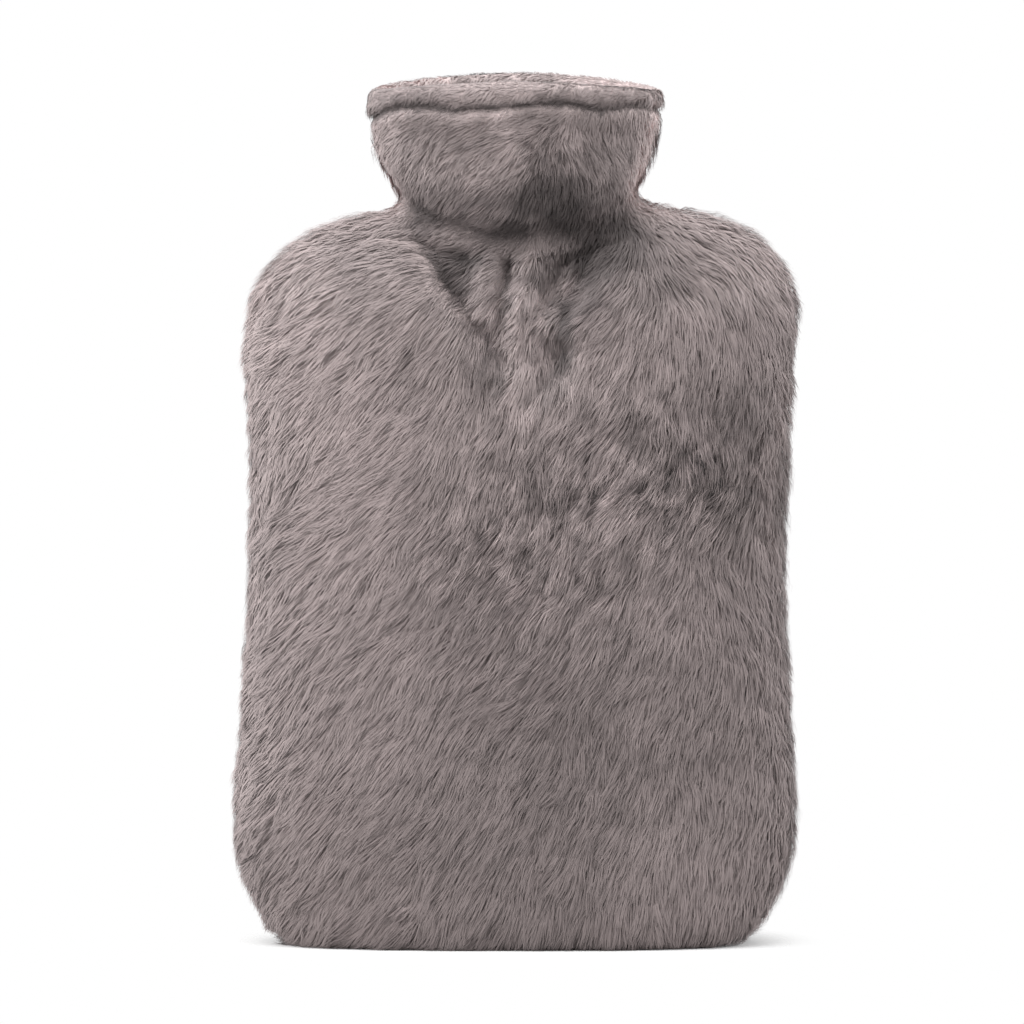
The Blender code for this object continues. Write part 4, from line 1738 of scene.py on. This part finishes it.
@dataclass(frozen=True)
class FurField:
    """A stretch of a panel's fur that is one piece, between two stations of the cloth."""

    name: str
    low: float
    high: float
    density: float
    seed: int
    pelt: Pelt

    def plant(
        self, panel: Panel, fur_map: FurMap, tree: FurTree, material: bpy.types.Material
    ) -> bpy.types.Object:
        """Grows the fur.

        Args:
            panel: the panel that it grows on.
            fur_map: how the panel's fur is combed and shaded.
            tree: the fur's Geometry Nodes tree.
            material: the fur's material.

        Returns:
            The fur as an object of plain mesh.
        """
        stations = panel.stations()
        first, last = (int(np.argmin(np.abs(stations - end))) for end in (self.low, self.high))
        mesh = panel.mesh(self.name, first, last + 1)
        lean = fur_map.lean
        marks = {
            "pile": fur_map.pile(panel),
            "thick": fur_map.thickness(panel),
            "stand": fur_map.stand(panel),
            "clump": fur_map.clump(panel),
            "shade": fur_map.shade(panel),
            "comb": fur_map.comb(panel),
            "facing": unit(panel.normals * (1.0 - lean) + panel.slopes * lean),
            "ground_normal": fur_map.ground_normal(panel),
        }
        for name, values in marks.items():
            kind, entry = ("FLOAT", "value") if values.ndim == 2 else ("FLOAT_VECTOR", "vector")
            layer = mesh.attributes.new(name, kind, "POINT")
            layer.data.foreach_set(entry, values[first : last + 1].ravel())
        piece = bpy.data.objects.new(self.name, mesh)
        bpy.context.scene.collection.objects.link(piece)
        sizes = {input_name(size.name): getattr(self.pelt, size.name) for size in fields(Pelt)}
        own = {"Hairs per Square Metre": self.density, "Seed": self.seed, "Material": material}
        tree.grow(piece, sizes | own)
        return piece


# ---------------------------------------------------------------------------------------------
# Finishes
# ---------------------------------------------------------------------------------------------


def open_material(name: str) -> tuple[bpy.types.Material, NodeWriter, Any]:
    """Opens a new material.

    Args:
        name: its name.

    Returns:
        The material, a writer of its tree, and its Principled shader's inputs.
    """
    material = bpy.data.materials.new(name)
    material.use_nodes = True
    shader = material.node_tree.nodes["Principled BSDF"]
    return material, NodeWriter(material.node_tree), shader.inputs


@dataclass(frozen=True)
class PileColour:
    """A shader group: the fur's colour from root to tip, uneven from hair to hair and by patch,
    with painted shade and light from its Shade input.
    """

    # Roots in ruffled locks darken to this: partly their own darker undercoat, partly painted shade
    # between the locks.
    clump_root: Colour = (0.100, 0.078, 0.076)
    clump_dark: float = 0.75
    root_end: float = 0.10
    body: float = 0.55
    patch: Pattern = Pattern(34.0, 0.40, 3.0)
    fleck: Pattern = Pattern(240.0, 0.30, 2.0)
    tone_strength: float = 0.09

    def tree(self) -> bpy.types.NodeTree:
        """Builds the group.

        Returns:
            The group's tree.
        """
        tree = bpy.data.node_groups.new("pile_colour", "ShaderNodeTree")
        face = tree.interface
        for name in ("Root", "Body", "Tip"):
            face.new_socket(name, in_out="INPUT", socket_type="NodeSocketColor")
        for name in ("Along", "Tone", "Shade", "Clump"):
            face.new_socket(name, in_out="INPUT", socket_type="NodeSocketFloat")
        face.new_socket("Colour", in_out="OUTPUT", socket_type="NodeSocketColor")
        write = NodeWriter(tree)
        given = write.add("NodeGroupInput").outputs
        place = write.object_place()
        deep = write.minus(given["Clump"], 1.0, clamp=True)
        deep = write.times(deep, self.clump_dark)
        root = write.blend(deep, given["Root"], (*self.clump_root, 1.0))
        low = write.eased(given["Along"], self.root_end, self.body)
        high = write.eased(given["Along"], self.body, 1.0)
        colour = write.blend(low, root, given["Body"])
        colour = write.blend(high, colour, given["Tip"])
        patch, fleck = write.swing(place, self.patch), write.swing(place, self.fleck)
        own = write.plus(write.times(given["Tone"], self.tone_strength), fleck)
        rough = write.plus(0.5, write.times(given["Clump"], 0.5))
        own = write.times(own, write.times(given["Clump"], rough))
        level = write.plus(write.plus(1.0, patch), own)
        # Painted shade and light: the colour is made darker or paler by the Shade input.
        level = write.times(level, write.plus(1.0, given["Shade"]))
        write.add("NodeGroupOutput", {"Colour": write.dimmed(colour, level)})
        return tree


@dataclass(frozen=True)
class FurFinish:
    """The fur's finish, and that of the short undercoat between its locks, coloured like the roots.
    """

    # The roots are paler than the body: painted light that fills the shaded gaps between the hairs.
    root: Colour = (0.600, 0.496, 0.486)
    body: Colour = (0.355, 0.293, 0.288)
    tip: Colour = (0.393, 0.329, 0.323)
    roughness: float = 0.62
    specular: float = 0.35
    sheen: float = 0.25
    sheen_roughness: float = 0.45
    fuzz_scale: float = 900.0
    fuzz_detail: float = 4.0
    fuzz_height: float = 0.0006
    fuzz_strength: float = 0.8
    fuzz_roughness: float = 0.9
    fuzz_along: float = 0.35

    def coloured(
        self, write: NodeWriter, group: bpy.types.NodeTree, along: Any, tone: Any
    ) -> Socket:
        """Places the colour group in a material with this finish's colours.

        Args:
            write: writer of the material's tree.
            group: the colour group.
            along: how far from root to tip.
            tone: the hair's own tone.

        Returns:
            The group's colour output.
        """
        node = write.add("ShaderNodeGroup", node_tree=group)
        values = {
            "Root": (*self.root, 1.0),
            "Body": (*self.body, 1.0),
            "Tip": (*self.tip, 1.0),
            "Along": along,
            "Tone": tone,
            "Shade": write.mark("shade"),
            "Clump": write.mark("clump"),
        }
        write.feed_all(node.inputs, values)
        return node.outputs["Colour"]

    def fur(self, group: bpy.types.NodeTree) -> bpy.types.Material:
        """Makes the hairs' material, lit softly by the way that the cloth under them faces.

        Args:
            group: the colour group.

        Returns:
            The material.
        """
        material, write, shader = open_material("taupe_fur")
        own = write.add("ShaderNodeNewGeometry").outputs["Normal"]
        soft = write.vector("ADD", own, write.mark("ground_normal", "Vector"))
        values = {
            "Base Color": self.coloured(write, group, write.mark("along"), write.mark("tone")),
            "Normal": write.vector("NORMALIZE", soft),
            "Roughness": self.roughness,
            "Specular IOR Level": self.specular,
            "Sheen Weight": self.sheen,
            "Sheen Roughness": self.sheen_roughness,
        }
        write.feed_all(shader, values)
        return material

    def undercoat(self, group: bpy.types.NodeTree) -> bpy.types.Material:
        """Makes the material of the cloth's face under the fur.

        Args:
            group: the colour group.

        Returns:
            The material.
        """
        material, write, shader = open_material("taupe_undercoat")
        fuzz = write.noise(write.object_place(), self.fuzz_scale, self.fuzz_detail)
        along = write.times(fuzz, self.fuzz_along)
        values = {
            "Base Color": self.coloured(write, group, along, 0.0),
            "Normal": write.bump(fuzz, self.fuzz_height, self.fuzz_strength),
            "Roughness": self.fuzz_roughness,
        }
        write.feed_all(shader, values)
        return material


@dataclass(frozen=True)
class KnitFinish:
    """The knitted back of the plush: rows of small loops, seen inside the mouth."""

    yarn: Colour = (0.330, 0.295, 0.288)
    gap: Colour = (0.150, 0.130, 0.126)
    wale: float = 0.0013
    course: float = 0.0011
    slant: float = 2.2
    loop_height: float = 0.0003
    loop_strength: float = 0.7
    roughness: float = 0.92
    patch_scale: float = 60.0
    patch_detail: float = 3.0
    patch_least: float = 0.75
    patch_strength: float = 0.5

    def material(self) -> bpy.types.Material:
        """Makes the knit's material, on the cloth's own UV map.

        Returns:
            The material.
        """
        material, write, shader = open_material("knitted_backing")
        cloth = write.split(write.add("ShaderNodeUVMap", uv_map="cloth").outputs[0])
        over = write.times(cloth["X"], 2.0 * math.pi / self.wale)
        up = write.times(cloth["Y"], 2.0 * math.pi / self.course)
        slant = write.times(write.math("ABSOLUTE", write.math("SINE", over)), self.slant)
        loop = write.math("COSINE", write.plus(up, slant))
        side = write.times(write.math("COSINE", over), 0.5)
        height = write.plus(side, write.times(loop, 0.5))
        share = write.plus(write.times(height, 0.5), 0.5, clamp=True)
        colour = write.blend(share, (*self.gap, 1.0), (*self.yarn, 1.0))
        uneven = write.noise(write.object_place(), self.patch_scale, self.patch_detail)
        level = write.plus(self.patch_least, write.times(uneven, self.patch_strength))
        values = {
            "Base Color": write.dimmed(colour, level),
            "Normal": write.bump(height, self.loop_height, self.loop_strength),
            "Roughness": self.roughness,
        }
        write.feed_all(shader, values)
        return material


# ---------------------------------------------------------------------------------------------
# Studio
# ---------------------------------------------------------------------------------------------


@dataclass(frozen=True)
class SoftBox:
    """A square soft light, aimed at the cover."""

    name: str
    place: tuple[float, float, float]
    size: float
    watts: float

    def hang(self, target: Vector) -> None:
        """Adds the light and turns it to the target.

        Args:
            target: the place that it is aimed at.
        """
        light = bpy.data.lights.new(self.name, "AREA")
        light.size = self.size
        light.energy = self.watts
        lamp = bpy.data.objects.new(self.name, light)
        lamp.location = self.place
        lamp.rotation_euler = (target - Vector(self.place)).to_track_quat("-Z", "Y").to_euler()
        bpy.context.scene.collection.objects.link(lamp)


@dataclass(frozen=True)
class Studio:
    """A plain white studio: floor, soft lights and the camera at the photograph's angle."""

    distance: float = 6.0
    elevation: float = math.radians(5.0)
    view_width: float = 0.4002
    middle_x: float = -0.0014
    middle_z: float = 0.1693
    ambient: float = 0.50
    floor_radius: float = 0.125
    floor_sides: int = 96
    floor_seen: float = 0.90
    floor_bounce: float = 0.18
    floor_roughness: float = 0.8
    floor_depth: float = 1.5
    fade_start: float = 0.62
    fade_end: float = 0.98
    clip_start: float = 0.05
    boxes: tuple[SoftBox, ...] = (
        SoftBox("left", (-1.50, -0.40, 0.65), 1.1, 27.0),
        SoftBox("right", (1.50, -0.30, 0.70), 0.9, 11.0),
        SoftBox("top", (-0.15, -0.35, 1.10), 0.8, 11.0),
    )

    def build(self) -> None:
        """Adds the floor, the lights, the surroundings and the camera."""
        target = Vector((self.middle_x, 0.0, self.middle_z))
        for box in self.boxes:
            box.hang(target)
        self.add_floor()
        self.add_surroundings()
        self.add_camera(target)
        bpy.context.scene.view_settings.view_transform = "Standard"

    def add_floor(self) -> None:
        """Adds a pale floor that fades into the white surroundings."""
        mesh = bpy.data.meshes.new("floor")
        disc = bmesh.new()
        bmesh.ops.create_circle(
            disc, cap_ends=True, segments=self.floor_sides, radius=self.floor_radius
        )
        disc.to_mesh(mesh)
        disc.free()
        material, write, shader = open_material("pale_floor")
        seen = write.add("ShaderNodeLightPath").outputs["Is Camera Ray"]
        dull, pale = ((*(level,) * 3, 1.0) for level in (self.floor_bounce, self.floor_seen))
        oval = write.vector("MULTIPLY", write.object_place(), (1.0, self.floor_depth, 1.0))
        away = write.vector("LENGTH", oval)
        start, end = (share * self.floor_radius for share in (self.fade_start, self.fade_end))
        values = {
            "Base Color": write.blend(seen, dull, pale),
            "Roughness": self.floor_roughness,
            "Alpha": write.eased(away, start, end, 1.0, 0.0),
        }
        write.feed_all(shader, values)
        mesh.materials.append(material)
        floor = bpy.data.objects.new("floor", mesh)
        bpy.context.scene.collection.objects.link(floor)

    def add_surroundings(self) -> None:
        """Makes the world white to the camera and a soft light to all else."""
        world = bpy.data.worlds.new("studio")
        bpy.context.scene.world = world
        world.use_nodes = True
        write = NodeWriter(world.node_tree)
        world.node_tree.nodes.clear()
        ray = write.add("ShaderNodeLightPath").outputs["Is Camera Ray"]
        light = write.add("ShaderNodeBackground", {"Strength": self.ambient})
        backdrop = write.add("ShaderNodeBackground", {"Strength": 1.0})
        for node in (light, backdrop):
            node.inputs["Color"].default_value = (1.0, 1.0, 1.0, 1.0)
        mixed = write.add(
            "ShaderNodeMixShader", {0: ray, 1: light.outputs[0], 2: backdrop.outputs[0]}
        )
        write.add("ShaderNodeOutputWorld", {"Surface": mixed.outputs[0]})

    def add_camera(self, target: Vector) -> None:
        """Adds the camera, looking at the target.

        Args:
            target: the place in the picture's middle.
        """
        lens = bpy.data.cameras.new("camera")
        lens.lens = lens.sensor_width * self.distance / self.view_width
        lens.clip_start = self.clip_start
        camera = bpy.data.objects.new("camera", lens)
        back = Vector((0.0, -math.cos(self.elevation), math.sin(self.elevation)))
        camera.location = target + back * self.distance
        camera.rotation_euler = (-back).to_track_quat("-Z", "Y").to_euler()
        bpy.context.scene.collection.objects.link(camera)
        bpy.context.scene.camera = camera


# ---------------------------------------------------------------------------------------------
# Cover
# ---------------------------------------------------------------------------------------------

FRONT_PELT = Pelt()
COLLAR_PELT = Pelt(length=0.0125, lock_size=0.0030)
BACK_PELT = Pelt(width=0.00072, joints=3)

FRONT_FIELDS = (
    FurField("front_foot_fur", -0.030, 0.075, 1.75e6, 101, FRONT_PELT),
    FurField("front_lower_belly_fur", 0.075, 0.160, 1.75e6, 102, FRONT_PELT),
    FurField("front_upper_belly_fur", 0.160, 0.232, 1.75e6, 103, FRONT_PELT),
    FurField("front_shoulder_fur", 0.232, 0.2925, 1.85e6, 104, FRONT_PELT),
    FurField("front_collar_fur", 0.2925, 0.400, 1.85e6, 105, COLLAR_PELT),
)

BACK_FIELDS = (
    FurField("back_foot_fur", -0.030, 0.110, 0.79e6, 201, BACK_PELT),
    FurField("back_belly_fur", 0.110, 0.232, 0.79e6, 202, BACK_PELT),
    FurField("back_collar_fur", 0.232, 0.400, 0.91e6, 203, BACK_PELT),
)


@dataclass
class CoverPanel:
    """One panel of the cover with its cloth and all its fur, dressed.

    Flat and area are the size of the piece that its cloth is cut from; nothing in the script reads
    them.
    """

    node: str
    panel: Panel
    fur_map: FurMap
    fields: Sequence[FurField]
    flat: tuple[float, float] = (0.285, 0.410)
    area: float = 0.090

    def build(self, tree: FurTree, materials: dict[str, bpy.types.Material]) -> None:
        """Builds the panel's pieces, attaches them to the root body and hides the panel's solid.

        Args:
            tree: the fur's Geometry Nodes tree.
            materials: the finishes, by name.
        """
        name = self.panel.side.name.lower()
        # Painted shade and light, given to the cloth's fur side as well as to the hairs.
        shade = self.fur_map.shade(self.panel)
        cloth = self.panel.sheet(f"{name}_cloth", shade, materials["undercoat"], materials["knit"])
        furs = [
            item.plant(self.panel, self.fur_map, tree, materials["fur"]) for item in self.fields
        ]
        for piece in (cloth, *furs):
            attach(piece, BODY)
            piece.data.calc_loop_triangles()
            LOG.info("%s: %d triangles", piece.name, len(piece.data.loop_triangles))
        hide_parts(self.node)


def main() -> None:
    logging.basicConfig(level=logging.INFO, format="%(name)s %(message)s")
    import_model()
    Studio().build()
    group = PileColour().tree()
    finish = FurFinish()
    materials = {
        "fur": finish.fur(group),
        "undercoat": finish.undercoat(group),
        "knit": KnitFinish().material(),
    }
    tree = FurTree()
    form = PouchForm()
    front = Panel(form, Side.FRONT, Weave(96, 0.45, 0.0029))
    back = Panel(form, Side.BACK, Weave(64, 0.30, 0.0042))
    front_map = FurMap(FRONT_STROKES, FRONT_PAINTED_SHADES, FRONT_CLUMPS)
    back_map = FurMap(BACK_STROKES, BACK_PAINTED_SHADES, BACK_CLUMPS)
    CoverPanel("front_panel", front, front_map, FRONT_FIELDS).build(tree, materials)
    CoverPanel("back_panel", back, back_map, BACK_FIELDS).build(tree, materials)


if __name__ == "__main__":
    main()
